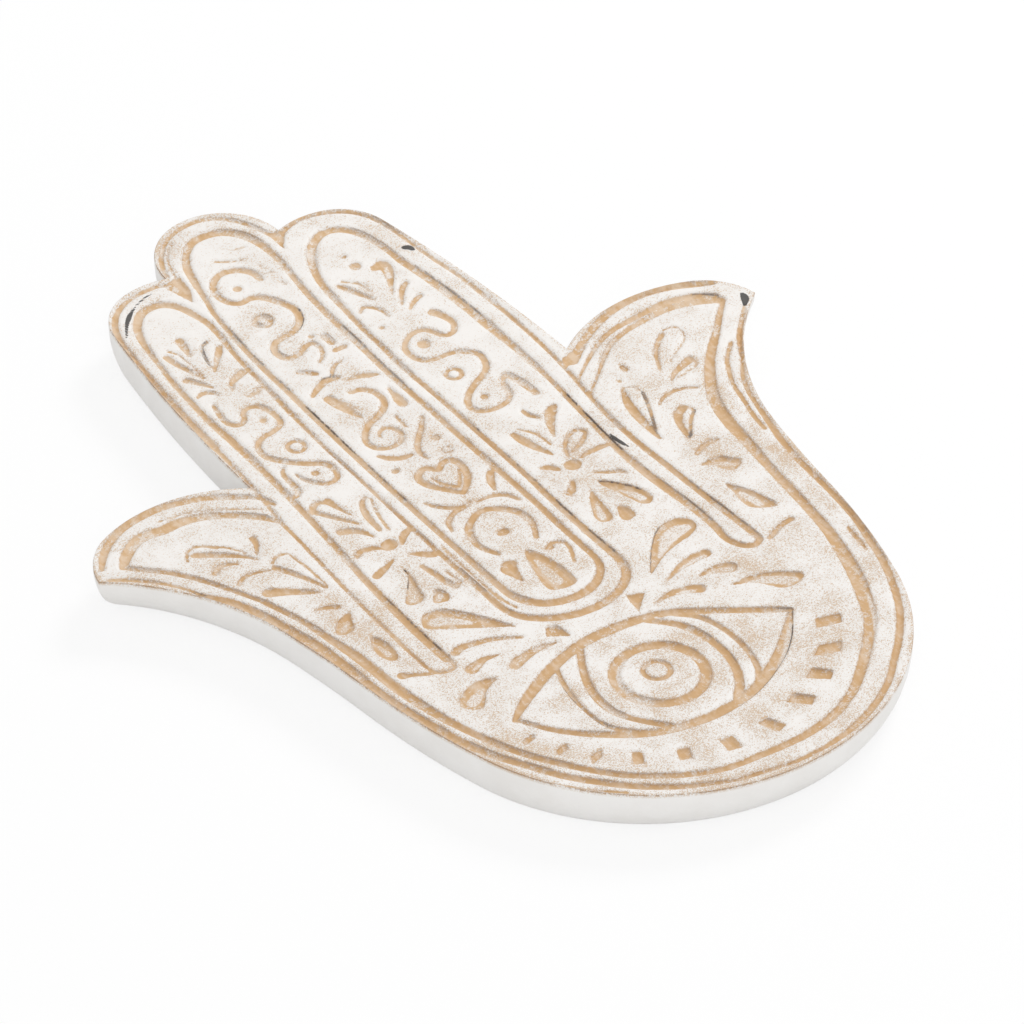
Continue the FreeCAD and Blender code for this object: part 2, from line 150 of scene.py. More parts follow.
# A groove: its width, or several widths spread evenly along it, and the points it runs through.
RIM = (
    ((1.2, 1.5, 1.6, 1.6, 1.9, 2.1, 2.1, 1.9, 2.1, 2.2, 2.2, 2.3, 2.2, 2.2, 2.2, 2, 2.1, 2.2, 2.2,
      1.6, 1.4, 1.4, 1.6, 1.8),
     ((93, 7), (88, 0), (85, -7), (83.2, -14), (81.6, -21), (79.6, -30), (78.2, -40),
      (77.6, -50), (76.9, -60), (75.7, -70), (73.3, -80), (70.7, -90), (66.8, -100),
      (61.8, -110), (54.3, -120), (47, -127.5), (40, -134.2), (30, -140.6), (20, -144.6),
      (10, -146.8), (0, -147.3), (-6, -146.6), (-12, -145.7), (-17.5, -144.8))),
    (1.4, ((94, 14), (89, 9), (86, 4), (83.3, -2), (81.6, -9), (79.8, -16), (78.8, -23))),
    ((1, 1.9, 2, 1.8, 1.4), ((107, 25.6), (102, 20), (97.5, 14.6), (94.6, 10), (93, 7))),
    ((1.6, 2, 2.4, 2.8, 3, 3.4, 3.6, 3.8, 3.9, 3.6, 3.2, 2.8, 3, 3, 3.4, 3.9, 4.4, 4.4, 3.8,
      3.2, 3, 2.8, 3, 2.8, 2.5, 2.4),
     ((103, 30.5), (99, 26.5), (94, 21), (89, 16), (84, 10.5), (79.5, 4), (76, -2),
      (73.5, -9), (72.2, -16), (71.6, -22), (70.6, -30), (69.4, -40), (68.5, -50),
      (67.5, -60), (66.2, -70), (63.9, -80), (61, -90), (57, -100), (51.7, -110),
      (42.5, -120.3), (32, -130), (26, -133.8), (20, -136.8), (10, -139.3), (0, -139.9),
      (-10, -139.4))),
    ((2.3, 2.3, 2.3, 2.3, 2.3, 2.3, 2.3, 2.3, 2.4, 2.6, 3, 3.4, 3.3, 3.4, 2.5, 1.9, 1.9, 1.9),
     ((-9, -139.6), (-18, -138.8), (-27, -135.6), (-35, -131), (-43, -125), (-50, -117),
      (-57, -107), (-61.5, -99), (-64.8, -91), (-68.3, -80), (-70.6, -70), (-72, -60),
      (-72.7, -50), (-73.3, -40), (-74.8, -30), (-76.2, -20), (-78, -13), (-80.4, -5))),
    ((1.6, 2, 2, 1.8, 1.6, 1.6),
     ((-103, 29.5), (-98.5, 25), (-94.5, 21), (-90, 14.5), (-85.5, 6), (-80.4, -5))),
    ((1, 1.8, 2.3, 2.5, 2.5, 2.5, 2.5, 2.5, 2.8, 3.6, 3.8, 3.7, 3.9, 3.9, 3.6, 3.2, 3, 3, 2.6),
     ((-17, -145.4), (-25, -142), (-34, -137.5), (-43, -131), (-50, -124), (-57, -115.5),
      (-62, -107), (-67, -98), (-71, -88), (-75, -73), (-77.4, -60), (-78.2, -50),
      (-78.8, -40), (-79.8, -30), (-82, -20), (-83.6, -12), (-85.8, -5), (-88.5, 1),
      (-93, 7))),
    ((1.5, 1.5, 1.3, 1.2, 1.2, 1.4),
     ((-110, 28), (-104, 23.5), (-99.5, 19), (-96.6, 15), (-94.2, 11), (-92.4, 6.4))),
    ((1.1, 1.2, 1.2, 1), ((-94, -1), (-88.6, -10), (-85.6, -22), (-83.6, -34))),
    (1.1, ((-81, -78), (-77, -92), (-72, -103), (-65.5, -113), (-57, -122.5), (-47, -131.5))),
    # thumb crests
    ((1.6, 2.6, 2.8, 2.8, 2.8, 2.8, 2.7, 2.6, 2.3, 1.9, 1.4),
     ((-109, 33), (-105, 38), (-100, 42), (-94, 44.8), (-88, 46), (-80, 46.2), (-72, 44.5),
      (-66, 42), (-60, 38), (-55, 34), (-53, 29))),
    ((2.4, 3.6, 4, 4, 3.9, 3.7, 3.5, 3.2, 2.8, 2.6, 2.2),
     ((-103.5, 30.3), (-100, 34), (-95, 37.5), (-90, 38.5), (-85, 37.7), (-80, 37.8),
      (-75, 37), (-70, 34.8), (-65, 31.5), (-60, 27), (-56.5, 22.5))),
    (0.9, ((-84, 41.2), (-76, 40.2), (-70, 37.6), (-64, 34), (-57, 29))),
    ((1.6, 2.4, 2.8, 2.9, 3, 3, 2.9, 2.8, 2.6, 2),
     ((52, 33.5), (57, 37), (63, 40.5), (70, 44), (78, 46.3), (86, 46.8), (93, 45.5),
      (98, 43.5), (103, 41), (106, 39.5))),
    ((0.8, 0.8, 0.8, 1, 1.4, 1.8, 1.9, 2.2, 2.6, 2.6, 2.2),
     ((48.4, 18.6), (47.6, 22.4), (49.3, 25.4), (52.7, 28.3), (58, 32.2), (63, 35.5), (69, 38),
      (77, 39.2), (88, 39.8), (97, 38), (103, 34))),
    ((0.8, 1, 1, 1.2, 1.7, 2, 1.9, 2.3, 2.9, 3.2, 2.6),
     ((48.2, 17.8), (50, 20), (53.2, 22.6), (57.2, 26.2), (61.4, 30), (66.4, 33.6), (73, 35.8),
      (80, 36.8), (88, 37.4), (96, 35.6), (103.4, 31.6))),
)

FINGERS = (
    # outer grooves of the three fingertips
    ((3.4, 3.4, 3.2, 3.1, 3, 2.7, 2.3, 2, 1.8, 1.8, 1.8, 1.6),
     ((-52.4, 60), (-51.9, 70), (-51.1, 80), (-50.1, 90), (-48.9, 100), (-47.5, 110),
      (-45.3, 118), (-41, 124.7), (-35, 128.6), (-29, 129.8), (-23, 129.5), (-19, 127.6))),
    ((1.6, 1.7, 1.7, 1.7, 1.8, 1.8, 1.8, 1.7, 1.6, 1.5),
     ((-18.6, 131.5), (-16, 138), (-12, 143), (-7.5, 146.3), (-2, 147.8), (4, 147.6),
      (9, 145), (13, 140), (15.5, 134), (16.7, 129.5))),
    (0.9, ((-16.6, 130), (-14.8, 136), (-12.2, 140.3), (-8.5, 143.4))),
    ((1.6, 1.8, 1.8, 1.8, 1.8, 1.8, 1.7, 1.6, 1.5, 1.5, 1.6, 1.8, 1.6),
     ((17.4, 126), (20, 129.3), (25, 131.3), (30, 131.4), (36, 129.5), (41, 126),
      (44.2, 121), (46, 114), (46.9, 105), (47.8, 95), (49.2, 85), (49.8, 75), (50.3, 62))),
    # ring finger arch and the long left leg
    ((2.6, 2.2, 2, 1.8, 1.7, 1.8, 2.4, 2.7, 3, 3, 3, 2.7, 2.4, 2.2, 2, 1.7, 1.6, 1.7, 1.8,
      1.4, 1.3),
     ((-46.4, 60), (-46.5, 70), (-45.8, 80), (-44.9, 90), (-43.3, 100), (-42, 107.5),
      (-40.6, 113), (-38.4, 117.6), (-35, 121.3), (-31, 122.7), (-27, 121.8),
      (-24, 118.5), (-22.3, 113), (-21.3, 107), (-21.9, 100), (-23.4, 90), (-24.2, 80),
      (-24.9, 70), (-25.7, 60), (-26.4, 50), (-26.9, 40))),
    ((2.6, 2.3, 2.1, 2, 2, 2.2, 2.5, 2.7, 2.8),
     ((-46.4, 60), (-47.2, 40), (-48.6, 20), (-50, 5), (-51, -5), (-52, -15), (-53, -30),
      (-53.5, -40), (-53.6, -55))),
    # the divider of the left bar
    ((1.8, 1.5, 1.4, 1.3, 1.3), ((-52.1, 60), (-52.8, 48), (-54, 36), (-55.4, 27), (-56.3, 20))),
    (1.3, ((-56.3, 22), (-56.8, 12), (-57.3, 5), (-58, -5), (-58.8, -15), (-59.3, -25),
           (-59.8, -35), (-60.2, -45), (-60.3, -55), (-59.4, -58.2), (-57, -59.6),
           (-54, -59.4), (-52.8, -56))),
    ((1.7, 1.6, 1.4, 0.9),
     ((-68, -54.3), (-65, -55.5), (-62, -57.3), (-59.4, -58.4))),
    # outer pill round the middle finger: left leg, foot, right leg, index arch
    ((1.3, 1.3, 1.4, 1.6, 1.9, 2.2, 2.6, 2.8, 3, 3, 3, 2.9, 2.8, 2.7, 2.6, 2.4, 2.2, 2, 1.8,
      1.8, 1.8, 1.8, 1.8, 1.8),
     ((-26.9, 40), (-27.2, 20), (-27.8, 0), (-28, -20), (-28.1, -36), (-27.9, -46),
      (-26, -51.5), (-22, -55.5), (-17, -58.3), (-11, -60), (-4, -60.1), (2, -58.5),
      (7, -55.5), (10, -51.5), (11.2, -46.5), (11.2, -38), (11.2, -28), (11.6, -10),
      (12, 0), (12.2, 20), (12.3, 40), (12.1, 60), (12.7, 70), (13, 80))),
    (0.9, ((-25.9, -14), (-26.2, -30), (-26, -42), (-24.6, -48))),
    ((1.8, 1.9, 2.1, 2.4, 2.7, 3, 3, 2.9, 2.7, 2.4, 2.2, 2.1, 2.4, 2.8, 3, 3, 3.2),
     ((13, 80), (13.9, 90), (14.7, 99), (16, 106), (18.2, 112), (22, 118), (26, 121.4),
      (30, 122.5), (34, 121), (37.3, 116.5), (39, 110), (39.7, 104), (39.9, 99),
      (41.2, 90), (42.1, 80), (42.6, 70), (42.8, 60))),
    ((3, 2.4, 2, 1.7, 1.7, 1.8, 2, 2.3, 2.8, 2.8, 2.7, 2.4, 2.2, 2.2, 2.2, 2),
     ((42.8, 60), (43, 50), (43, 40), (42.7, 30), (41.8, 20), (41, 10), (40.2, 0),
      (39.7, -10), (39.9, -20), (40.6, -30), (41.5, -40), (41.6, -50), (40.9, -56.5),
      (42.6, -61.6), (45.6, -63.6), (48.6, -62.4))),
    ((1.6, 1.5, 1.5, 1.5, 1.7, 1.9, 2, 2, 2.3, 2.3, 2),
     ((50.3, 62), (50.2, 48), (49.2, 32), (47.4, 18), (46.3, 6), (46.1, -8),
      (46.6, -20), (47.2, -35), (47.8, -45), (48.4, -56), (48.6, -62.4))),
    # inner groove of the middle finger
    ((2, 1.7, 1.7, 1.8, 1.9, 2, 2, 2, 2, 2, 2, 2, 2.3, 2.7, 3, 3, 3, 2.9, 2.6, 2.3, 2, 2, 2,
      2, 2, 2, 2.1, 2.2, 2.3, 2.2, 2.1, 2, 2, 2.2, 2.8, 3, 3, 3, 2.8, 2.3),
     ((-14.3, 122), (-16, 115), (-17.3, 110), (-18.7, 100), (-19.7, 90), (-20.4, 80),
      (-20.7, 70), (-21.2, 60), (-22, 40), (-22.5, 20), (-22.8, 0), (-23, -20),
      (-23, -38), (-22.4, -43.5), (-20, -48), (-16, -51.5), (-10, -53.2), (-4, -53),
      (1, -50.8), (4.8, -46.8), (6.2, -42), (6.4, -35), (6.5, -25), (7, -10), (7, 20),
      (7.2, 40), (7.3, 60), (7.8, 70), (8.2, 80), (8.6, 90), (9.3, 100), (10.1, 107),
      (11.3, 115), (12, 123), (11.4, 130.5), (9, 136.3), (5, 139.8), (0, 141),
      (-4.2, 140.2), (-8.4, 136.8))),
    ((2.3, 2.6, 2.4), ((-8.4, 136.8), (-11.6, 131.5), (-14.1, 123))),
)

EYE = (
    ((1.6, 3, 3.5, 3.5, 3.5, 3.6, 3.8, 3.6, 3.1, 2.8, 2.6, 2.5, 2.5, 2.4, 1.6),
     ((-54, -88), (-48, -83.6), (-40, -79), (-33, -75.6), (-25, -72.6), (-17, -71),
      (-10, -70.8), (-3, -71.3), (4, -72.6), (10, -74.8), (16, -78.6), (22, -82.6),
      (28, -86.6), (34, -90.8), (37, -92.8))),
    ((1.4, 2, 2.4, 3, 3.4, 3.4, 3.4, 3.4, 3.4, 3.4, 3.6, 3.8, 3.4, 1.6),
     ((-53, -89), (-48, -97), (-42, -103.5), (-35, -109), (-28, -113.3), (-20, -116.3),
      (-10, -117.8), (-3, -117.6), (5, -116.2), (12, -113.5), (18.4, -109.8), (24.4, -105.6),
      (29.8, -100.6), (36.2, -93.6))),
    ((1.3, 1.6, 1.5, 1.3, 1.3, 1.5, 1.8),
     ((-31.4, -76.5), (-33.4, -82), (-34.8, -88.5), (-35.4, -95), (-35.2, -101),
      (-33.6, -106.5), (-28.5, -112.4))),
    ((2.2, 2.2, 2.3, 2.5, 2.6, 2.5, 2.2, 2.1, 2.4),
     ((-21, -73), (-23.6, -77.3), (-26.3, -82.3), (-28.2, -87), (-29.6, -92.8), (-29.8, -98.3),
      (-28.6, -103), (-25.8, -108), (-20.6, -114.4))),
    ((2.4, 2.5, 2.6, 2.5, 2.5, 2.6, 2.8, 3),
     ((1.6, -73.4), (6, -78), (9, -83), (10.8, -90), (11, -97), (9.6, -104), (6.4, -110.6),
      (2.4, -115.6))),
    ((2.2, 1.9, 1.8, 1.7, 1.7, 1.8, 2.2),
     ((9.6, -75.6), (13.8, -80), (16, -85.4), (17, -92), (16.6, -100), (14.6, -107.6),
      (11.4, -113))),
)

# A round groove: its centre, its radius and its width.
RINGS = (
    (-9.3, -94.8, 12.8, 3.4),
    (-9.1, -92.9, 3.9, 1.6),
    (-33.1, 46.8, 2.5, 1.6),
    (-8.2, 99, 2.3, 1.9),
    (0.5, 21, 1.5, 0.9),
    (22, 48, 2.3, 1.6),
)

# Leaves and strokes of the gouge, thick at the head and thin at the tip.
LEAVES = (
    # palm, left of the eye
    ((3, 2.4, 2, 1.2), ((-50, -54), (-47, -53.3), (-42, -54.2), (-38, -55.4), (-31, -59.3))),
    ((4, 3.4, 2, 0.7), ((-50.6, -62.8), (-48.5, -62), (-45, -61.2), (-40.8, -62))),
    ((3.6, 3.8, 3, 2.2, 0.9),
     ((-39.8, -68.4), (-37.8, -67.4), (-33.4, -66.3), (-29.4, -66), (-24.6, -66.8))),
    # palm, right of the eye
    ((0.7, 2, 3, 3.6), ((8, -68.6), (13, -67.7), (18, -68.6), (21.8, -70.6))),
    (1.9, ((51.2, -63.5), (55, -61.6), (58, -60.6), (61, -60.2))),
    ((0.9, 1.6, 1.4, 0.8), ((71.6, -72.4), (71, -76), (70.6, -79.6), (69.8, -83.6))),
    # the heel of the left thumb
    ((0.8, 1.7, 2), ((-71, -16.3), (-68, -17), (-65, -18.8))),
    ((4, 3, 2, 0.8), ((-77, -2.4), (-72.5, -5.2), (-68, -8.5), (-65, -10.5))),
    ((2.2, 2, 1.6, 1), ((-69.3, 5.6), (-66.8, 1), (-64.2, -5), (-62.6, -10))),
    ((1, 1.2, 1), ((-69, 7.5), (-66, 9.5), (-63.5, 9))),
    ((0.9, 1, 0.9), ((-62.6, 8), (-61.9, 0), (-62, -9))),
    ((1.6, 1.7, 1.4, 0.9), ((-81.5, 5.5), (-79, 7.1), (-76, 7.3), (-71, 5.6))),
    ((2, 2.1, 1.6, 0.9), ((-84.3, 13.2), (-82, 15), (-79, 14.6), (-76.5, 13))),
    ((2.4, 1.9, 1), ((-66.7, 20), (-67.6, 17), (-70, 13.5))),
    ((1, 1.2, 1.2, 1.1, 0.9), ((-87.5, 22), (-85.5, 25.2), (-83, 26.2), (-80, 25), (-77.5, 22))),
    ((2.4, 2.4, 2, 1.4, 0.9), ((-84.3, 23.2), (-80, 20.3), (-75.5, 16.8), (-72.5, 13.8), (-71, 11.5))),
    ((0.9, 1, 0.8), ((-79, 24.4), (-75, 20.6), (-72, 15.5))),
    # the right thumb
    ((2, 1.9, 1.5, 1), ((80.4, 28.6), (77, 26), (73.6, 22), (70.3, 15.4))),
    ((3, 2.6, 1.8, 0.8), ((80, 14.8), (77, 13.8), (73, 12.2), (70, 9.5))),
    ((0.9, 0.9, 0.9, 0.8, 0.8, 0.6),
     ((81.6, 29.8), (84.9, 29.3), (85.8, 26.1), (84, 22.8), (78.9, 19.6), (74, 16.6))),
    ((0.8, 0.9, 0.9, 0.8, 0.6), ((79, 15), (80.9, 13.8), (80, 11.4), (77.3, 10.6), (72, 9.6))),
    ((0.8, 0.8), ((57, 14.8), (59.4, 13.9), (60.6, 11))),
    ((0.9, 0.9), ((62.8, -2.7), (65, -1.2), (66.9, -2.7), (67.4, -5.2))),
    ((1.8, 1.9), ((62.5, 23), (62.5, 21.4))),
    ((1.2, 2.6, 3, 2.8, 2, 1),
     ((56.6, 14.5), (54.5, 9.5), (53.4, 5), (52.8, 0), (52.4, -5), (52.2, -9.6))),
    ((1, 1.1, 0.8), ((60.4, 10), (57.6, 3), (53.4, -6))),
    ((0.9, 1.4, 1.5, 1.4, 1), ((61, 3), (64, 5), (67.6, 5.6), (71, 4.9), (74.5, 3))),
    ((2.6, 2.8, 2, 1.2), ((65.4, -2.2), (62.6, -3.8), (60.4, -8), (59, -14))),
    ((1, 1.1, 0.8), ((67.4, -5), (64, -8), (60.2, -13.4))),
    ((1.6, 1.9, 1.8, 1.2), ((56.5, -21.2), (59.5, -19.6), (63, -18.9), (65.3, -19.3))),
    # flowers at the foot of the left finger
    ((2, 2.3, 2.2, 1.6), ((-46.3, 19.8), (-45, 21.8), (-42.8, 22.6), (-41.2, 21.4))),
    ((1.8, 1.6, 1.4, 0.9), ((-45.7, 19), (-43.4, 15), (-40.7, 11), (-38.7, 8))),
    ((2.8, 1.4, 0.8), ((-40.2, 21.6), (-39.4, 16.8), (-38.4, 12.8))),
    ((3, 2.6, 1.8, 0.9), ((-45, 8), (-42.4, 6.8), (-40, 4), (-38.7, 1))),
    ((1.6, 2.2, 1.9, 1), ((-35.7, 2.6), (-35, 9.5), (-33, 14.8), (-30.2, 17.4))),
    ((1, 1.1, 0.9), ((-33.6, 1), (-32.2, 8), (-29.6, 15.6))),
    ((4.4, 4.6), ((-37.9, -4.6), (-37.1, -4.4))),
    ((1.8, 2.2, 2, 1.2), ((-48, -3.6), (-45.5, -2.3), (-42, -3), (-40, -4.5))),
    ((1.2, 2.4, 2.5, 1.6), ((-34.3, -6.3), (-32.4, -4), (-30.4, -2.6), (-28.6, -1.9))),
    ((2.6, 2.3, 1.6, 0.7), ((-48.3, -13.9), (-45.5, -12.8), (-42.5, -11.6), (-40, -10.3))),
    ((0.7, 1.8, 2.8, 3), ((-35.3, -10.8), (-33.2, -12.6), (-31, -14.2), (-29.7, -14.9))),
    ((1.4, 2, 2.1, 2), ((-35.5, -17.5), (-34.6, -22), (-34, -27), (-33, -30.3))),
    ((2, 1.4), ((-33.2, -30), (-30.6, -29.4))),
    (0.9, ((-31.4, -23.6), (-30.4, -29))),
    # flowers at the foot of the right finger
    ((1.6, 1.8, 1.4), ((28, 23), (28.4, 20.2), (30, 18))),
    ((2.2, 3.6, 3.2, 2, 0.8), ((36.4, 19.6), (34.4, 18.4), (32, 15.4), (30, 11.8), (28.6, 8.4))),
    ((2.2, 3, 2.6, 1.8, 0.9), ((19.6, 15.6), (20.2, 12), (21.2, 8), (22.4, 4.6), (23.4, 2))),
    ((0.8, 1.1, 1), ((22, 17), (25, 12), (25.5, 6))),
    ((1.2, 1.5, 1.4, 1.4, 1.4), ((26.5, -1), (28.5, 3.2), (32, 6.3), (35.4, 7.2), (36.9, 5))),
    ((1.6, 1.7, 1.1), ((36, 4), (33, 1.8), (28.6, 0))),
    ((4.6, 4.6), ((25, -5), (25.6, -5))),
    ((1.2, 2, 2.1, 1.6), ((29, -3.6), (32, -3), (35.5, -2.9), (38.5, -3.3))),
    ((1.4, 2.4, 1.4), ((17.2, -1.2), (19.4, -2.4), (20.8, -4.6))),
    ((2.2, 2.6, 2, 0.9), ((17, -15), (18.4, -14), (19.8, -12.6), (21.4, -10.4))),
    ((0.9, 1.5, 1.6, 1.2), ((28.5, -11.5), (31.5, -13.5), (34, -14.6), (35.5, -16.5))),
    # ring finger
    ((2.2, 2, 1.6, 0.9), ((-39.8, 101.2), (-39.3, 97), (-38, 92), (-36.6, 87))),
    ((0.9, 1, 0.9, 0.8), ((-38, 103), (-36.4, 100), (-36, 94), (-36.2, 87.5))),
    ((2.9, 2.4, 1.2), ((-32.6, 105.2), (-33.2, 101.6), (-34, 98))),
    ((1.2, 1.9, 2.4, 2), ((-32.2, 88.2), (-29, 91.8), (-26.4, 94.6), (-24.8, 96.6))),
    ((0.9, 1, 1.1, 1.2), ((-32, 89.6), (-31, 94.6), (-29.2, 99), (-26.4, 100.4))),
    ((2.4, 1.8, 0.9), ((-41.3, 89.2), (-39.2, 86.2), (-36.8, 82))),
    ((1.2, 1.9, 1.7, 1), ((-43, 81), (-41, 81.8), (-38.6, 80.6), (-37.5, 78.5))),
    ((3, 2.6, 1.8, 0.9), ((-26, 83.3), (-29, 82.3), (-31.5, 80.8), (-33, 78.5))),
    ((2, 2, 1.2), ((-26, 74.4), (-28.6, 73.6), (-31, 73.3))),
    ((1, 1.6, 2, 2, 2.3, 1.6),
     ((-41.3, 41), (-43.2, 39), (-43.7, 35), (-43.9, 31.2), (-45.2, 28.9), (-47, 28.5))),
    # index finger
    ((1.4, 1.6), ((27.3, 110), (27.8, 110))),
    ((1.8, 2, 1.6, 1), ((18.7, 99.6), (20.2, 96), (21.6, 92.6), (23.3, 89))),
    ((0.9, 1.1, 0.9), ((20.2, 101), (24, 97), (24.6, 92.6))),
    ((2.4, 4, 3.4, 2, 0.8), ((31.6, 100.6), (34.4, 100.6), (34, 97), (31.6, 92.6), (29, 88))),
    ((1.8, 2.1, 1.7, 0.9), ((35.2, 90), (33, 88.6), (31, 86.2), (28.5, 82.5))),
    ((1.8, 1.8, 0.9), ((35, 82.8), (32, 81.6), (29, 79.3))),
    ((1.2, 1.5, 1.4, 1), ((16.6, 86.2), (19, 87.6), (21.8, 84.4), (22.3, 80.2))),
    ((1.4, 1.6), ((17.2, 77), (17.8, 77))),
    # middle finger
    ((2.5, 2.6), ((2.2, 83.4), (2.2, 79.8))),
    ((2, 2.2), ((0.8, 76.3), (4, 76.3))),
    ((1.8, 1.6), ((-1.2, 85.3), (-0.6, 85.3))),
    ((1.6, 2.2, 1.8), ((-13.5, 74), (-11.2, 72), (-9.5, 70.5))),
    ((0.8, 1.5, 1.6, 1), ((1, 71.5), (-2.5, 71), (-5, 69.2), (-6.5, 67))),
    ((1.4, 2.4, 2.8, 2, 1), ((-16.5, 62.6), (-12.8, 65), (-9.2, 66.4), (-6.6, 66), (-5.2, 65.2))),
    ((1, 2.2, 2.5, 1.6, 0.8), ((-4, 63.2), (-1, 62.9), (2, 61.6), (3.6, 60.8), (5, 60))),
    ((3.4, 3.6, 2.6, 1), ((-13.3, 59), (-12.6, 55.4), (-11.6, 51), (-10.5, 46.8))),
    ((0.8, 2, 3.4, 3.2), ((3.3, 54), (3, 50.6), (2.7, 47.4), (2.5, 45.4))),
    (1.3, ((-2.5, 42), (-2.8, 36.5))),
    ((1.2, 1.8, 2.1, 2, 1.7, 1.2),
     ((3.5, 37.5), (1, 34), (-2.5, 30.5), (-5.4, 27), (-6.5, 24), (-6.1, 21))),
    ((1.2, 2.2, 2.3, 1.6), ((-17, 29.8), (-15, 27.2), (-12, 25.4), (-9, 25))),
    ((2, 2.4), ((-17.2, 21.4), (-16.8, 21.6))),
    ((1.8, 2.3, 2.5, 2.5, 2.3, 2, 1.9, 2.1, 2.4, 2.4, 2.3, 2.2, 1.8),
     ((-7, 2.5), (-10.5, 7), (-13.2, 11.3), (-13.5, 15.2), (-11, 17.6), (-8.6, 17.2),
      (-6.7, 15), (-4, 17), (-1.2, 16.6), (-0.3, 13.4), (-1.2, 9), (-3.6, 5.5), (-7, 2.5))),
    ((1, 1.3, 1.4, 1.3, 1), ((-10.4, 13), (-9.3, 9), (-6.5, 5.9), (-3.7, 9), (-1.9, 12))),
    ((1, 1.6, 1.8, 1.6, 1), ((-18.5, 5), (-17, 2), (-13.5, -1.3), (-10, -2.6), (-7.6, -1.6))),
    ((1, 1.7, 1.8, 1.2), ((-6, -3), (-2, -3), (2, -5), (4, -9))),
    # faint strokes above the scroll
    ((0.9, 1.1, 0.8), ((-4, 129.6), (-0.6, 127.2), (4, 125.2))),
    ((0.8, 1), ((3.4, 130.7), (7.4, 130.1))),
    ((0.9, 0.8), ((5.9, 120.9), (6, 118.4))),
    ((0.8, 1), ((4.2, 116.8), (7, 116.2))),
    ((0.9, 1), ((6.7, 111.7), (6.8, 109.2))),
    ((0.8, 0.9, 0.8), ((-13.5, 59.3), (-10.4, 54.4), (-8.9, 49.3))),
    ((1.2, 1.8, 1.8, 1.2), ((-19.5, -9.5), (-18, -5.8), (-14.5, -3.4), (-10.5, -3))),
    ((1, 2.4, 2.5, 1.2), ((1, -1.5), (2.2, 2), (4, 5), (6, 6.5))),
    ((1.6, 2, 2.3, 2.5, 2.3, 2, 2.3, 2.4, 2.2, 1.9, 1.6),
     ((-15, -25.5), (-17, -21), (-17.2, -17), (-15.5, -12), (-12, -8.8), (-7.5, -7),
      (-3.5, -8.8), (0, -12.7), (1.1, -17), (0.4, -21), (-2, -25.5))),
    ((2.6, 3), ((-8.9, -18.3), (-7.7, -18.3))),
    ((1, 1.4, 1.5, 1.4, 1), ((-2.8, -31.5), (0, -30.2), (2.4, -31.2), (3.1, -34), (0.6, -40.4))),
    ((1.8, 2), ((-1.8, -31.5), (-1.2, -31.5))),
)

SCROLLS = (
    # middle finger
    ((2.3, 2.5, 2.5, 2.4, 2.4, 2.3, 2.3, 2.3, 2.4, 2.5, 2.5, 2.5, 2.5, 2.4, 2.3, 2.3, 2.3, 2.4, 2.4,
      2.4, 2.3, 2.2, 1.8, 1.4),
     ((2.5, 115.5), (2.2, 119), (-0.5, 122.4), (-5, 123.8), (-9, 122), (-11.8, 117.5),
      (-11.4, 112.5), (-8.8, 109.6), (-5, 109.7), (-2, 108), (0.4, 104), (2.3, 99),
      (1.4, 94.6), (-1, 91.7), (-4, 90.2), (-8, 89.6), (-11, 88.8), (-13, 86.3),
      (-13.2, 83), (-11.6, 80.8), (-8, 80.9), (-5, 82.6), (-2.5, 82.8), (-1.6, 80))),
    ((1.4, 1.6, 1), ((-1.6, 80), (-3, 76.7), (-6, 74.2))),
    ((1.8, 2.2, 2.2, 2.2, 2.3, 2.2, 2.2, 2.1, 2, 2, 1.9, 1.8, 1.7, 1.6, 1.5, 1.3, 1),
     ((-6.5, 58), (-3.5, 57.4), (-1.2, 54.5), (-1, 50), (-3.2, 46.7), (-7, 44.6),
      (-11, 43), (-14.3, 40), (-16.1, 36.5), (-15.2, 33), (-12.4, 31.3), (-9, 31.3),
      (-6.2, 33.2), (-5.7, 36.4), (-7.6, 39), (-10.3, 38.6), (-11.5, 36.6))),
    # ring finger
    ((1.4, 1.8, 2, 2.1, 2, 1.9, 1.9, 1.9, 2, 2, 2, 2, 2, 2, 2.1, 2.1, 2.2, 2.2, 2.2, 2.2, 2.2, 2.1,
      2, 1.9, 1.8, 1.6, 1.4, 1),
     ((-41.5, 75.5), (-42.5, 71), (-43, 67.3), (-41.8, 64.8), (-39.6, 64.2), (-37.7, 65.7),
      (-36.6, 68), (-34.5, 69.1), (-31.7, 68.1), (-30.2, 65.4), (-29.8, 61),
      (-30.8, 57.8), (-34, 56.3), (-38, 55.7), (-41, 54.2), (-42.7, 51), (-42.8, 48),
      (-41.3, 45), (-38, 41.2), (-34.5, 38.2), (-31.3, 36), (-30.3, 33), (-31.2, 29.4),
      (-33.6, 28), (-36.4, 28.5), (-39.2, 31.7), (-40.2, 34), (-40.5, 36.5))),
    # index finger
    ((3, 2.6, 2.2, 2, 2, 2, 2, 2, 2, 2, 2, 2, 2, 2, 2, 2.1, 2.2, 2.2, 2.2, 2.2, 2.2, 2.2, 2.1, 2, 2,
      2, 1.9, 1.8, 1.8, 2.2, 2.6, 2.4),
     ((33.4, 74.6), (35, 71), (35.4, 67.2), (33.8, 64.4), (31.4, 63.5), (29.6, 64.4),
      (28.4, 67), (27, 69.2), (24.5, 70), (21.3, 69.2), (18.4, 66.8), (16.9, 63.5),
      (17.8, 58.8), (21.2, 56.8), (27, 56.3), (30.8, 54.2), (33, 51), (32, 46.4),
      (29.2, 43.4), (25, 41.2), (20.7, 38.5), (17.9, 35.4), (17, 32.4), (18.4, 29.8),
      (22, 28.5), (26.7, 29), (29.6, 31.3), (30.5, 35), (31.8, 38), (34, 38.8),
      (35.3, 34), (35.9, 27.6))),
)

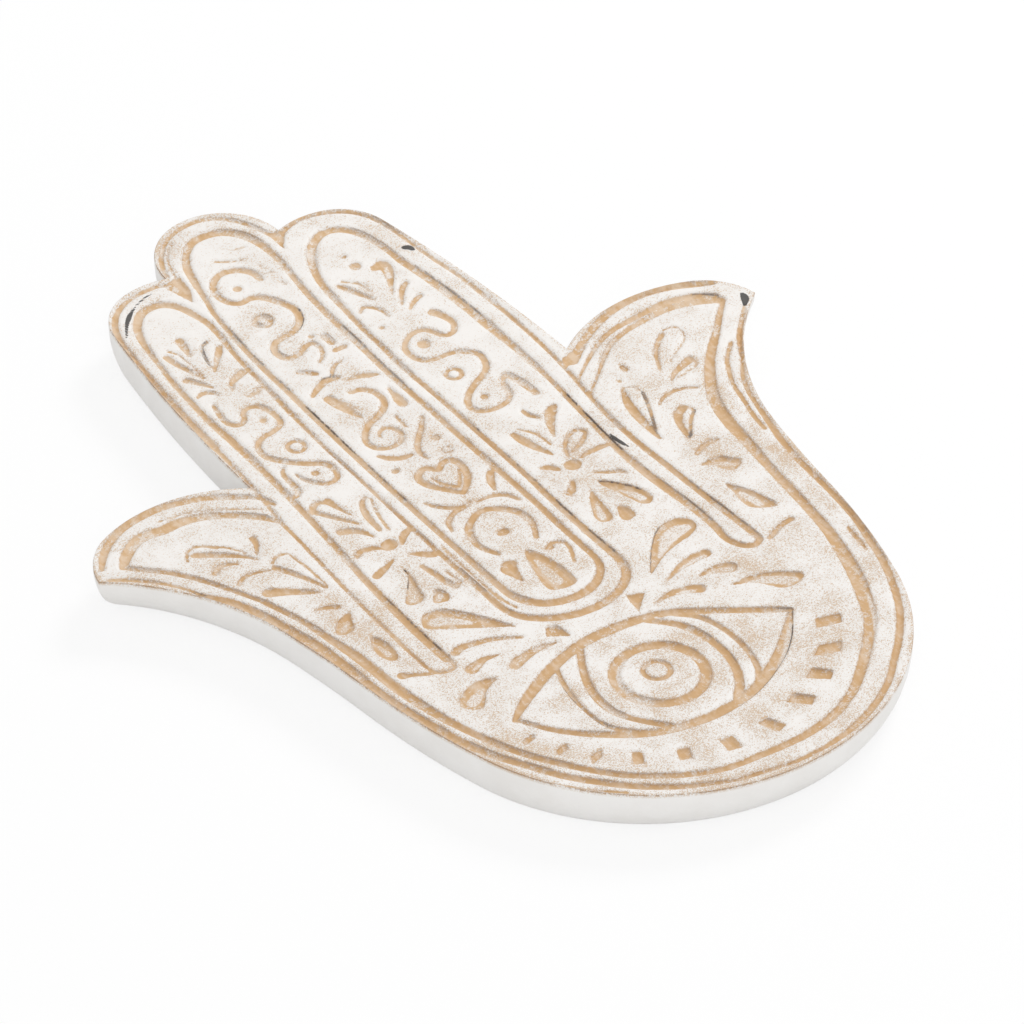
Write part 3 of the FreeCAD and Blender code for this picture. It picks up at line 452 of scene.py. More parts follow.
# Small round cuts: centre and radius.
DOTS = (
    (-34, 61.8, 1.2), (-35.7, 33.8, 1.3), (27.7, 104.5, 1.8), (23, 64, 2.1), (23, 34.5, 1.3),
    (-5.5, 115.3, 1.4), (1, 27.3, 1.4), (-68, -54, 1.5), (58, 18, 0.7),
)

# Cuts with a drawn outline, smooth all round.
DROPS = (
    ((-50.5, -39), (-48.5, -36), (-45.5, -35.2), (-42, -36.4), (-38.5, -40), (-35, -45),
     (-32, -50), (-29.5, -54.5), (-32, -53), (-36, -50.5), (-40, -48), (-44, -45.5),
     (-48, -43), (-50.4, -41)),
    ((-62.3, -73.5), (-60.5, -71), (-57, -69), (-53, -68), (-49.5, -68.5), (-47, -70),
     (-50, -71.4), (-53, -73.2), (-55.5, -76.4), (-57.5, -78.1), (-60, -77.8), (-62.2, -75.4)),
    ((14.5, -63.5), (20, -60), (24, -58), (29, -57), (33.3, -57.5), (34, -59), (33, -60.3),
     (28, -60.3), (22, -61), (17, -62.6)),
    ((14.5, -57.5), (18.5, -51.6), (22.5, -46.8), (26, -43.4), (29, -41.5), (33, -41),
     (36, -42), (37.9, -44.6), (37, -48), (33, -49.9), (29, -50.7), (24, -52.2), (20, -54.2)),
    ((30, -74.5), (34, -73.9), (38, -74.4), (42, -75.9), (46, -78.4), (49, -81.2), (48.4, -83.2),
     (44, -84.5), (40.5, -83.4), (38.5, -80.5), (36.5, -78), (33.5, -76)),
    ((24.5, -66), (28, -64.8), (32, -64.7), (35, -65.8), (36.4, -68), (34.5, -69.9),
     (32, -69), (29, -67.2)),
    ((55, -36.2), (56.5, -38.8), (59, -42.8), (60.4, -47), (61.6, -51.5), (60.8, -53.2),
     (57.5, -51.6), (54.8, -49.4), (54.2, -46), (54.8, -41)),
    ((54.3, -26), (57, -25.2), (61.5, -25.9), (63, -28.2), (65.2, -30), (64, -32),
     (60.5, -33), (58.8, -30.8), (57.2, -28)),
    ((-40.3, -15), (-41.4, -19.2), (-45.6, -24.6), (-48.6, -28.2), (-47.4, -30.2),
     (-44.6, -30.4), (-42.7, -29), (-42, -25.4), (-40.4, -20)),
    ((-42, -32.4), (-40, -29.6), (-38.5, -28), (-37, -30), (-36.6, -32.4), (-37.8, -34),
     (-40.6, -33.8)),
    ((27, -15), (26.7, -17.4), (28.3, -22), (29.7, -27), (30.9, -30.4), (33, -31.4),
     (35, -30), (35.2, -27), (33.6, -22.8), (30.4, -18.2)),
    ((22.7, -17.3), (19.6, -21.4), (17, -26.6), (16.4, -29.6), (18.2, -31.2), (20.6, -30.8),
     (21.6, -27.2), (22.2, -22)),
    ((24.8, -27.4), (22.8, -31), (22.4, -33.4), (24, -34.2), (26.5, -33.5), (26.8, -30)),
    ((-65, -35), (-67.3, -39), (-68, -43), (-66.8, -46.6), (-64.4, -47), (-63, -43.4),
     (-63.2, -38.6)),
    ((-63.5, -22.5), (-67, -23.2), (-70, -24.9), (-72.2, -28.6), (-69.6, -30), (-66.6, -29),
     (-65, -25.4)),
    ((-7.8, -28.5), (-9.7, -32), (-11.3, -38), (-12.6, -44), (-12, -47.2), (-8, -48.6),
     (-4.2, -48), (-3.6, -45), (-4, -38), (-5.5, -32)),
    ((-18.5, -31.5), (-15.5, -29.4), (-12.7, -30.9), (-14, -33), (-15.4, -37), (-16.2, -39.6),
     (-17.6, -36.4), (-18.7, -33.4)),
)

# Cuts with straight sides: the chips under the eye, its two corner triangles and the notches.
CHIPS = (
    ((-58, -98.6), (-57.4, -96.2), (-52.9, -95.1), (-53.8, -97.6)),
    ((-53, -107.5), (-52.2, -105), (-48, -103.9), (-48.8, -106.6)),
    ((-47.4, -116), (-45.8, -112.4), (-41.4, -111.6), (-43.2, -114.6)),
    ((-38.6, -122.4), (-35.6, -117.9), (-33.3, -119.4), (-35.6, -124.2)),
    ((-27, -128.6), (-25.1, -124.2), (-21.5, -125.3), (-23.4, -130)),
    ((-13.7, -133.1), (-13, -127.7), (-8.9, -128.2), (-9.2, -133.8)),
    ((2.3, -134.4), (0.1, -127.8), (3.3, -127.3), (6.1, -132.9)),
    ((12, -125), (15.6, -122.9), (20, -127.8), (17, -130.1)),
    ((22.4, -119.6), (26.5, -116.9), (30.6, -121.5), (27.8, -124.1)),
    ((30, -113), (34, -110), (40.6, -112), (37.5, -115.7)),
    ((38, -103.5), (40, -99.8), (47.1, -102), (45.4, -105.6)),
    ((-25.5, -63), (-23.3, -59.9), (-20.3, -60), (-19.3, -66.9)),
    ((3.2, -61), (8.3, -63.1), (2, -69)),
    ((-22.2, 129), (-15.6, 130.2), (-16.4, 123), (-19.3, 117.4)),
    ((16, 131.4), (22, 130.4), (17.6, 126), (15.8, 121.8)),
    ((49.6, 32.4), (50.6, 36), (54.6, 37.2), (60.4, 37), (57.6, 35), (53.2, 31.6)),
)

# Paint left on the floor of the wider cuts: widths and points, as for a groove.
PALE = (
    ((3.4, 3, 1.6), ((-46.4, -39.4), (-43, -41), (-38.6, -45))),
    ((3, 3, 1), ((-58.6, -74.4), (-56.6, -73.4), (-53, -71))),
    ((0.6, 1.4, 1.5), ((20, -61.2), (26, -59.2), (31.6, -58.8))),
    ((1, 3, 4.6, 4.4, 2.6), ((21.4, -52), (25.6, -48.6), (29.6, -46), (33, -45.4), (35.4, -45.6))),
    ((1, 3, 3.6, 1.8), ((35, -75.6), (39.4, -77.4), (43.4, -80.2), (46.4, -82))),
    ((1, 2.2, 1.8), ((28, -66), (32, -66.8), (34.4, -67.8))),
    ((0.8, 1.6, 1), ((15.6, -68.4), (18.4, -69), (20.6, -70))),
    ((1.4, 2.4, 2.2), ((56.6, -42), (57.6, -46), (58, -49))),
    ((1.2, 2, 1.4), ((58, -27), (60.6, -28.6), (62.6, -30.4))),
    ((2.6, 2, 0.6), ((-45.6, -27.6), (-43.8, -24.6), (-42, -20.6))),
    ((1.4, 1.8), ((-39.8, -31.8), (-38.4, -30.6))),
    ((0.6, 2, 2.4), ((29.6, -21), (31.6, -24.6), (32.8, -27.6))),
    ((0.6, 1.8, 2), ((21, -22), (19.6, -26), (18.8, -28.6))),
    ((0.8, 1.8), ((-65.4, -39), (-65.2, -43.6))),
    ((1, 1.8), ((-66.4, -25.4), (-69.2, -27.6))),
    ((0.8, 2.6, 3.4), ((-7.6, -33), (-7.8, -38.6), (-8, -44))),
    ((2, 2.2), ((-9.4, -92.8), (-9.2, -92.8))),
    ((0.8, 1.9, 1.7, 1.9, 1.6),
     ((-13, -83.4), (-16.4, -86), (-18.9, -88.9), (-20.3, -92.6), (-20.7, -96.4))),
    ((0.5, 1, 0.9), ((-29.6, -93.6), (-29.6, -99), (-27.8, -104.2))),
    ((1.4, 3.6, 4, 3.4, 1),
     ((-22.2, -97.6), (-21.9, -99.6), (-20.9, -101.2), (-19.5, -102.4), (-17.9, -103.4))),
    ((0.6, 0.9), ((-1.8, -85.3), (0.1, -86.3))),
    ((0.7, 1.2, 0.8), ((0.8, -91), (2.3, -93), (3.6, -96))),
    ((0.8, 1.4, 0.8), ((4.9, -73.1), (5.6, -75), (7, -76.7))),
    ((0.5, 1.1, 1.3, 1.3, 1.2, 0.6),
     ((59, -98.4), (56.8, -103.8), (53.8, -109.4), (49.9, -115.3), (44.4, -121.8), (38.9, -127.3))),
    ((0.8, 2, 2, 1.7, 0.6),
     ((33.8, -96.7), (30.3, -101.3), (26.7, -105.1), (22.9, -108.5), (18.4, -111.5))),
    ((1.2, 1.6, 1.6, 1), ((-33.4, 46.8), (-32.6, 47), (-33, 47.4), (-33, 46.6))),
    ((0.8, 1.4), ((34.8, 99.4), (33.2, 95.6))),
    ((0.5, 1.1, 1), ((-50.4, -62.9), (-48.4, -62.3), (-46.6, -61.8))),
)

# A dark line of painted shadow, partly dirt, lies along one side of these: its strength, and places that
# follow the edge of a cut.
DIRT_AND_SHADOW_LINES = (
    (0.5, ((37, -93), (35.4, -95.6), (33.4, -99))),
    (0.9, ((33.4, -99), (29, -104.4), (23, -110), (15, -114.6), (8, -117.6))),
    (0.6, ((8, -117.6), (0, -119.4), (-8, -119.8))),
    (0.45, ((34, -90.4), (37.4, -92.6))),
    (0.5, ((-35.2, -84), (-36.2, -92), (-36.2, -99), (-34.4, -105.5))),
    (0.5, ((-31, -90.5), (-31.2, -95.5), (-31, -100.5), (-29.6, -104.5))),
    (0.4, ((12.4, -86), (12.4, -98), (10, -106))),
    (0.5, ((-22.6, -97), (-20.6, -103), (-17, -107))),
    (0.6, ((13, 25), (12.8, 0), (12.6, -20), (12.4, -44))),
    (0.5, ((50.4, -60), (49, -45), (48.4, -30), (47.6, -12))),
    (0.5, ((43.4, -48), (43, -32), (41.4, -18))),
    (0.7, ((98, 38.4), (103, 34))),
    (0.6, ((-97, 14), (-90, 3), (-86, -8), (-83.4, -20))),
    (0.4, ((-66.8, 32.6), (-58, 25))),
    (0.5, ((-24.6, -50), (-28.6, -44))),
    (0.6, ((-52.4, -20), (-52.4, -50))),
    (0.5, ((40.2, 96), (43, 84), (44.4, 66))),
    (0.6, ((60, 10), (57.5, 4), (53, -8))),
    (0.6, ((67.5, -5), (60, -13.6))),
    (0.7, ((27.5, -15), (31, -19.5), (35, -26))),
    (0.8, ((-40, -15), (-44.5, -22.5))),
    (0.5, ((18.2, -30), (16.6, -24))),
    (0.5, ((15, -57), (22, -47), (28, -42))),
    (0.5, ((-15.2, 112), (-17.6, 98), (-18.8, 84), (-19.4, 70), (-20, 60))),
    (1.0, ((-20.2, 60), (-20.7, 46), (-21.2, 31))),
    (0.6, ((-21.2, 31), (-21.6, 10))),
    (0.5, ((9.6, 84), (9, 74), (8.6, 60), (8.4, 48))),
    (0.5, ((12.6, 110), (11, 98))),
    (0.7, ((3.6, 98), (2.2, 92.6), (-4, 89.6))),
    (0.5, ((-12.8, 84), (-14.4, 88))),
    (0.6, ((-9.6, 67.9), (-6.6, 67.4))),
    (0.5, ((-28.6, 64), (-29.6, 58))),
    (0.5, ((33.6, 55), (34.4, 50), (32.6, 45.6))),
    (0.6, ((-27, 100.6), (-32.4, 92))),
    (0.5, ((-22.2, 76), (-23.8, 60))),
    (0.8, ((42.3, 22), (41.6, 8), (41.2, -6.5))),
)

# Nicks painted near-black, as the shadow in small dents and cracks: widths and points, as for a groove.
SHADOWED_NICKS = (
    ((1.5, 1.9, 1.2), ((43.9, 103.2), (45.2, 102.4), (45.4, 101.2))),
    ((0.9, 2.1, 2.2, 0.9), ((109.6, 30.2), (109.3, 28.7), (108.7, 27.4), (107.4, 25.8))),
    ((0.4, 0.9, 1, 0.4), ((41.5, 0.2), (41.7, -2.2), (42, -5), (42.5, -7.6))),
    ((0.4, 0.8, 1.3, 0.7, 0.4),
     ((-43.9, 115), (-41.2, 118.9), (-38.4, 121.9), (-35.9, 123.9), (-34.2, 124.9))),
    ((0.3, 0.5, 0.4, 0.3), ((-33.2, 125.6), (-31, 126.4), (-28.4, 127.2), (-26.4, 127.5))),
)

# Speckled patches, where about half of the paint is gone: widths and points.
SCUFFS = (
    ((2.4, 3.4, 3.4, 2.6), ((-3.6, -93.6), (-2.4, -95.6), (-4, -99), (-7.1, -101.1))),
    ((1.6, 2.4, 2), ((-15.2, -95.4), (-13.8, -98.4), (-11.3, -100.9))),
    ((2, 4, 4), ((18.7, -87.1), (20.6, -91.9), (20.5, -96.7))),
    ((2.4, 3, 3, 2), ((75.2, -31.6), (75.1, -40), (74.4, -50), (72.9, -64.8))),
    ((1.6, 2.6, 1.2), ((57.8, 12), (56.2, 6), (53.6, -1.6))),
    ((1.6, 2.2, 0.8), ((65, -3.6), (63.2, -7), (60.9, -11.6))),
    ((1, 1.8, 1), ((79.4, 13.2), (76.6, 12), (73, 10.4))),
    ((1, 3.2, 3.4, 1.6), ((72.6, 17.6), (77.8, 23.4), (81.8, 26.6), (83.8, 27))),
    ((2, 3, 1.4), ((33, 99.8), (35, 98.4), (33.4, 95))),
    ((1.4, 2.2, 1), ((-28.2, 98.6), (-28.4, 95.4), (-30.4, 91))),
    ((1, 2.2, 1.8), ((-10.6, 55), (-9, 51), (-7.2, 48.4))),
    ((1.4, 2.4, 2), ((52, 34.8), (56, 35.8), (60, 37.2))),
    ((0.6, 1, 1.1, 1.1, 1.2, 1.3, 1.3, 1),
     ((18.6, -147.5), (7.9, -149), (-0.7, -148.9), (-8.6, -147.8), (-16.2, -146.2),
      (-23.4, -144.3), (-30.2, -141.7), (-37.1, -138))),
)

# Places where the paint is rubbed thin: width of the patch and its points.
RUBBED = (
    (6, ((-10.4, -92.8), (-8.4, -92.8))),
    (7, ((-4.6, -99), (-1, -96), (1, -91))),
    (5, ((78, -16), (75.6, -28), (74, -44), (73, -58), (71, -72), (69, -84), (64, -97), (56, -110))),
    (4, ((58, -112), (48, -124), (36, -134), (20, -141), (0, -143.5), (-18, -142.4), (-34, -135))),
    (4, ((-36, -134), (-50, -122), (-60, -107), (-67, -90), (-72, -74))),
    (5, ((88, 22), (84, 16), (80, 8), (78, -2), (76, -12))),
    (6, ((92, 41), (80, 42), (66, 38))),
    (5, ((-100, 38), (-86, 42), (-72, 40), (-62, 35))),
    (5, ((-104, 27), (-96, 17), (-88, 9), (-82, -4), (-79.4, -18), (-76, -40), (-75, -60))),
    (5, ((-49, 58), (-48.4, 78), (-46.6, 98), (-43, 114), (-36, 125), (-26, 126.4))),
    (4, ((-15, 132), (-8, 142), (4, 144), (12, 134), (13.6, 120))),
    (4, ((20, 124), (28, 127), (38, 124), (43, 112), (44.6, 96), (46, 76))),
    (8, ((-40, -90), (-24, -86), (-24, -98), (-20, -108))),
    (9, ((0, -82), (6, -92), (4, -102), (-6, -108), (-18, -104))),
    (6, ((-14, -86), (-4, -86), (-2, -98), (-12, -102))),
    (9, ((28, -92), (22, -98), (24, -90))),
    (10, ((-62, -84), (-60, -96), (-50, -112), (-34, -126))),
    (12, ((-16, -124), (4, -124), (24, -116), (40, -104), (48, -92))),
    (12, ((-56, -30), (-58, -50), (-56, -68))),
    (9, ((-14, 100), (-6, 104), (-4, 96), (-10, 84))),
    (10, ((0, 64), (-8, 56), (-10, 40), (0, 30))),
    (10, ((-12, 20), (-4, 8), (-10, -4), (-6, -16), (-8, -28), (0, -42), (-16, -40))),
    (9, ((24, 92), (28, 76), (24, 60), (28, 48), (24, 32))),
    (9, ((-36, 92), (-32, 74), (-36, 60), (-36, 44), (-34, 30))),
    (9, ((-40, 14), (-44, 0), (-36, -10), (-42, -24))),
    (9, ((24, 12), (30, 0), (24, -12), (28, -24), (20, -36))),
    (8, ((66, 26), (74, 20), (66, 10), (64, -4), (62, -16), (60, -30))),
    (8, ((-84, 20), (-76, 10), (-72, 0), (-66, -14), (-68, -28), (-66, -44))),
    (10, ((36, -66), (44, -72), (56, -70), (60, -80))),
)


def arc_points(start, heading, end, step):
    """Points along the arc that leaves start with a heading and reaches end, and its last heading."""
    chord = end - start
    length = chord.length
    ahead = Vector((math.cos(heading), math.sin(heading)))
    side = Vector((-ahead.y, ahead.x))
    bend = 2 * chord.dot(side) / (length * length)
    turn = 2 * math.atan2(chord.dot(side), chord.dot(ahead))
    straight = abs(bend) < STRAIGHT_BEND
    run = length if straight else turn / bend
    count = max(2, int(run / step))
    points = []
    for i in range(1, count + 1):
        t = run * i / count
        if straight:
            points.append(start + ahead * t)
        else:
            forward = ahead * math.sin(bend * t) / bend
            aside = side * (1 - math.cos(bend * t)) / bend
            points.append(start + forward + aside)
    return points, heading + turn


def run_points(run, step):
    """Points along a run of arcs, each tangent to the one before."""
    heading, stations = run
    heading = math.radians(heading)
    points = [Vector(stations[0])]
    for station in stations[1:]:
        more, heading = arc_points(points[-1], heading, Vector(station), step)
        points += more
    return points


def arc_over(start, top, end, step):
    """Points of the arc through three places."""
    middle = (start + end) / 2
    lift = (top - middle).length
    half = (end - start).length / 2
    radius = (half * half + lift * lift) / (2 * lift)
    centre = top - (top - middle).normalized() * radius
    first = math.atan2(start.y - centre.y, start.x - centre.x)
    last = math.atan2(end.y - centre.y, end.x - centre.x)
    if last < first:
        last += 2 * math.pi
    count = max(2, int((last - first) * radius / step))
    angles = (first + (last - first) * i / count for i in range(1, count + 1))
    return [centre + Vector((math.cos(a), math.sin(a))) * radius for a in angles]


def outline_points(step):
    """The closed outline of the hand, counter-clockwise from the heel, and its corner places."""
    palm = run_points(PALM_RUN, step)
    thumb = run_points(THUMB_RUN, step)
    finger = run_points(FINGER_RUN, step)
    right = palm + thumb[-2::-1] + finger[1:]
    notch = right[-1]
    mirrored = Vector((-notch.x, notch.y))
    tip = arc_over(notch, Vector(FINGERTIP), mirrored, step)
    left = [Vector((-p.x, p.y)) for p in right[-2:0:-1]]
    points = np.array([tuple(p) for p in right + tip + left])
    thumb_tip, thumb_root, finger_notch = PALM_RUN[1][-1], THUMB_RUN[1][0], FINGER_RUN[1][-1]
    corners = [thumb_tip, thumb_root, finger_notch]
    return points, corners + [(-x, y) for x, y in corners]


def smooth_line(points, step, closed=False):
    """Points of a smooth curve through the stations, and each one's share of the way along them."""
    p = np.array(points, dtype=float)
    if len(p) == 2 and not closed:
        count = max(2, int(np.linalg.norm(p[1] - p[0]) / step) + 1)
        t = np.linspace(0, 1, count)
        return p[0] + (p[1] - p[0]) * t[:, None], t
    if closed:
        ring = np.vstack([p[-1], p, p[0], p[1]])
    else:
        ring = np.vstack([2 * p[0] - p[1], p, 2 * p[-1] - p[-2]])
    found, share = [], []
    last = len(ring) - 3
    for i in range(last):
        a, b, c, d = ring[i : i + 4]
        count = max(2, int(np.linalg.norm(c - b) / step) + 1)
        t = (np.arange(count) / count)[:, None]
        slope, bow, twist = c - a, 2 * a - 5 * b + 4 * c - d, 3 * b - a - 3 * c + d
        found.append(0.5 * (2 * b + slope * t + bow * t**2 + twist * t**3))
        share.append((i + t[:, 0]) / last)
    if not closed:
        found.append(p[-1:])
        share.append(np.array([1.0]))
    return np.vstack(found), np.concatenate(share)


def straight_loop(points, step):
    """Points along the straight sides of a closed shape."""
    p = np.array(points, dtype=float)
    found = []
    for a, b in zip(p, np.roll(p, -1, axis=0)):
        count = max(2, int(np.linalg.norm(b - a) / step) + 1)
        found.append(a + (b - a) * (np.arange(count) / count)[:, None])
    return np.vstack(found)


def spread(widths, share):
    """Half widths along a line whose widths are spread evenly over it."""
    w = np.atleast_1d(np.array(widths, dtype=float)) / 2
    if len(w) == 1:
        return np.full(len(share), w[0])
    return np.interp(share, np.linspace(0, 1, len(w)), w)


def stroke(widths, points, step=STROKE_STEP):
    """The middle line of a stroke, and its half width at each point."""
    line, share = smooth_line(points, step)
    return line, spread(widths, share)


def inside_loop(x, y, loop):
    """Whether each place is inside a closed loop."""
    inside = np.zeros(len(x), dtype=bool)
    for (ax, ay), (bx, by) in zip(loop, np.roll(loop, -1, axis=0)):
        if ay == by:
            continue
        crosses = (ay > y) != (by > y)
        inside ^= crosses & (x < (bx - ax) * (y - ay) / (by - ay) + ax)
    return inside


class Ground:
    """Places on the face, and how far each is from the cuts drawn on it."""

    def __init__(self, x, y):
        self.x, self.y = x, y
        self.order = np.argsort(y, kind="stable")
        self.sorted_y = y[self.order]

    def window(self, low, high):
        """The places in a rectangle."""
        first, last = np.searchsorted(self.sorted_y, (low[1], high[1]))
        near = self.order[first:last]
        x = self.x[near]
        return near[(x > low[0]) & (x < high[0])]

    def to_line(self, line, half, reach=REACH):
        """Places near a line, and their distances from its edges, negative inside it."""
        distance = np.full(len(self.x), reach)
        for i in range(0, len(line), LINE_PART):
            part, thick = line[i : i + LINE_PART + 1], half[i : i + LINE_PART + 1]
            grow = thick.max() + reach
            near = self.window(part.min(axis=0) - grow, part.max(axis=0) + grow)
            if not len(near):
                continue
            dx = self.x[near][:, None] - part[:, 0]
            dy = self.y[near][:, None] - part[:, 1]
            value = (np.sqrt(dx * dx + dy * dy) - thick).min(axis=1)
            distance[near] = np.minimum(distance[near], value)
        near = np.nonzero(distance < reach)[0]
        return near, distance[near]

    def to_loop(self, loop):
        """Places near a closed loop, and their distances from it, negative inside it."""
        near, distance = self.to_line(np.vstack([loop, loop[:1]]), np.zeros(len(loop) + 1))
        box = self.window(loop.min(axis=0), loop.max(axis=0))
        inner = box[inside_loop(self.x[box], self.y[box], loop)]
        value = np.full(len(self.x), REACH)
        value[near] = distance
        value[inner] = -np.abs(value[inner])
        near = np.nonzero(value < REACH)[0]
        return near, value[near]


def cuts(ground):
    """Each cut of the carving: the places near it, their distances, and its depth."""
    for group, full in (
        (RIM, GROOVE_DEPTH), (FINGERS, GROOVE_DEPTH), (EYE, GROOVE_DEPTH),
        (SCROLLS, STROKE_DEPTH), (LEAVES, STROKE_DEPTH),
    ):
        for widths, points in group:
            line, half = stroke(widths, points)
            yield ground.to_line(line, half), min(full, LEAST_DEPTH + 0.75 * half.max())
    for x, y, radius, width in RINGS:
        angles = np.linspace(0, 2 * math.pi, max(24, int(radius * 12)))
        line = np.stack([x + radius * np.cos(angles), y + radius * np.sin(angles)], axis=1)
        half = np.full(len(line), width / 2)
        yield ground.to_line(line, half), min(GROOVE_DEPTH, LEAST_DEPTH + 0.4 * width)
    for x, y, radius in DOTS:
        line = np.array([[x, y], [x + 0.01, y]])
        yield ground.to_line(line, np.full(2, float(radius))), DOT_DEPTH
    for points in DROPS:
        yield ground.to_loop(smooth_line(points, STROKE_STEP, closed=True)[0]), DROP_DEPTH
    for points in CHIPS:
        yield ground.to_loop(straight_loop(points, STROKE_STEP)), GROOVE_DEPTH


def survey(x, y, depth_scale):
    """What the carving, the wear and the painted shadow lines and nicks do at each place of the face."""
    ground = Ground(x, y)
    cut, pale, nick = (np.full(len(x), REACH) for _ in range(3))
    deep, dirt_and_shadow, worn = (np.zeros(len(x)) for _ in range(3))
    for (near, distance), depth in cuts(ground):
        cut[near] = np.minimum(cut[near], distance)
        t = np.clip((WALL_TOP - distance) / WALL_WIDTH, 0, 1)
        deep[near] = np.maximum(deep[near], depth * depth_scale * t * t * (3 - 2 * t))
    for widths, points in PALE:
        near, distance = ground.to_line(*stroke(widths, points))
        pale[near] = np.minimum(pale[near], distance)
    for widths, points in SCUFFS:
        near, distance = ground.to_line(*stroke(widths, points))
        cut[near] = np.minimum(cut[near], np.maximum(distance, 0) + SCUFF_LEVEL)
    for widths, points in SHADOWED_NICKS:
        near, distance = ground.to_line(*stroke(widths, points, NICK_STEP))
        nick[near] = np.minimum(nick[near], distance)
    for strength, points in DIRT_AND_SHADOW_LINES:
        near, distance = ground.to_line(*stroke(DIRT_AND_SHADOW_WIDTH, points), DIRT_AND_SHADOW_REACH)
        dirt_and_shadow[near] = np.maximum(dirt_and_shadow[near], strength * np.clip(1.3 - distance, 0, 1))
    for width, points in RUBBED:
        near, distance = ground.to_line(*stroke(width / 2, points, RUBBED_STEP), width / 2)
        worn[near] = np.maximum(worn[near], np.clip(1 - distance / (width / 2), 0, 1))
    return {"cut": cut, "deep": deep, "pale": pale, "dirt_and_shadow": dirt_and_shadow, "worn": worn, "nick": nick}


def new_object(name, bm, slot, *nodes):
    """A finished mesh as a piece of the object."""
    mesh = bpy.data.meshes.new(name)
    bm.to_mesh(mesh)
    bm.free()
    piece = bpy.data.objects.new(name, mesh)
    bpy.context.scene.collection.objects.link(piece)
    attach(piece, BODY)
    if nodes:
        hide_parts(*nodes)
    return piece


def set_material(piece, material):
    """Gives a piece its one material."""
    piece.data.materials.clear()
    piece.data.materials.append(material)


def loop_of(edges):
    """The vertices of a closed chain of edges, in order."""
    chain = {}
    for e in edges:
        for v in e.verts:
            chain.setdefault(v, []).append(e)
    first = edges[0].verts[0]
    order, edge = [first], edges[0]
    vert = edge.other_vert(first)
    while vert is not first:
        order.append(vert)
        edge = next(e for e in chain[vert] if e is not edge)
        vert = edge.other_vert(vert)
    return order


def stadium_loop(bm, width, length, rise, height, count):
    """A closed chain of edges in the shape of a slot with round ends."""
    radius, half = width / 2, (length - width) / 2
    verts = []
    for side, start in ((1, 0), (-1, math.pi)):
        for i in range(count + 1):
            a = math.pi * i / count + start
            place = (radius * math.cos(a), rise + side * half + radius * math.sin(a), height)
            verts.append(bm.verts.new(place))
    return [bm.edges.new((a, b)) for a, b in zip(verts, verts[1:] + verts[:1])]


def circle_loop(bm, radius, x, y, height, count):
    """A closed chain of edges in the shape of a circle."""
    made = bmesh.ops.create_circle(bm, segments=count, radius=radius)["verts"]
    bmesh.ops.translate(bm, vec=(x, y, height), verts=made)
    return [e for e in bm.edges if e.verts[0] in made and e.verts[1] in made]


def raise_loop(bm, edges, rise):
    """Walls from a loop of edges straight up; gives the edges at their top."""
    made = bmesh.ops.extrude_edge_only(bm, edges=edges)["geom"]
    verts = [g for g in made if isinstance(g, bmesh.types.BMVert)]
    bmesh.ops.translate(bm, vec=(0, 0, rise), verts=verts)
    made_edges = [g for g in made if isinstance(g, bmesh.types.BMEdge)]
    return [e for e in made_edges if e.verts[0] in verts and e.verts[1] in verts]


def fill(bm, edges):
    """Closes the flat space between loops of edges."""
    bmesh.ops.triangle_fill(bm, use_beauty=True, use_dissolve=False, edges=edges)


class BoardSettings(bpy.types.PropertyGroup):
    """Sizes of the carved board."""

    width: bpy.props.FloatProperty(
        name="Width", description="Across the thumbs", default=BOX_HIGH.x - BOX_LOW.x, unit="LENGTH")
    height: bpy.props.FloatProperty(
        name="Height", description="From the heel to the middle fingertip",
        default=BOX_HIGH.y - BOX_LOW.y, unit="LENGTH")
    thickness: bpy.props.FloatProperty(
        name="Thickness", description="From the back to the carved face",
        default=BOX_HIGH.z - BOX_LOW.z, unit="LENGTH")
    cell: bpy.props.FloatProperty(
        name="Cell", description="Width of one cell of the carved face",
        default=0.00071, unit="LENGTH")
    depth: bpy.props.FloatProperty(
        name="Depth", description="How deep the gouge goes, 1 for the usual depth", default=1.0,
        subtype="FACTOR")
    paint: bpy.props.FloatVectorProperty(
        name="Paint", description="Colour of the whitewash", size=3, default=(0.855, 0.84, 0.82),
        subtype="COLOR")
    wood: bpy.props.FloatVectorProperty(
        name="Wood", description="Colour of the bare wood", size=3, default=(0.665, 0.452, 0.25),
        subtype="COLOR")


class HardwareSettings(bpy.types.PropertyGroup):
    """Finish of the hanger and its screws."""

    steel: bpy.props.FloatVectorProperty(
        name="Steel", description="Colour of the zinc", size=3, default=(0.56, 0.57, 0.58),
        subtype="COLOR")


class StageSettings(bpy.types.PropertyGroup):
    """Light and floor."""

    lamp: bpy.props.FloatProperty(
        name="Lamp", description="Power of the large lamp", default=19.6, subtype="POWER")
    sky: bpy.props.FloatProperty(
        name="Sky", description="Strength of the even light", default=0.745, subtype="FACTOR")


class Value:
    """A number that changes over a surface, written with the usual signs."""

    def __init__(self, paint, socket):
        self.paint, self.socket = paint, socket

    def math(self, operation, other=None, swap=False):
        parts = (other, self) if swap else (self, other)
        inputs = {i: part for i, part in enumerate(parts) if part is not None}
        node = self.paint.node("ShaderNodeMath", {"operation": operation}, inputs)
        return Value(self.paint, node.outputs[0])

    def __add__(self, other):
        return self.math("ADD", other)

    __radd__ = __add__

    def __sub__(self, other):
        return self.math("SUBTRACT", other)

    def __rsub__(self, other):
        return self.math("SUBTRACT", other, swap=True)

    def __mul__(self, other):
        return self.math("MULTIPLY", other)

    __rmul__ = __mul__

    def __abs__(self):
        return self.math("ABSOLUTE")

    def high(self, other):
        """The higher of two numbers."""
        return self.math("MAXIMUM", other)

    def ramp(self, start, end, low=0.0, high=1.0):
        """Eases from low at start to high at end."""
        node = self.paint.node(
            "ShaderNodeMapRange", {"interpolation_type": "SMOOTHSTEP"},
            {"Value": self, "From Min": start, "From Max": end, "To Min": low, "To Max": high})
        return Value(self.paint, node.outputs[0])


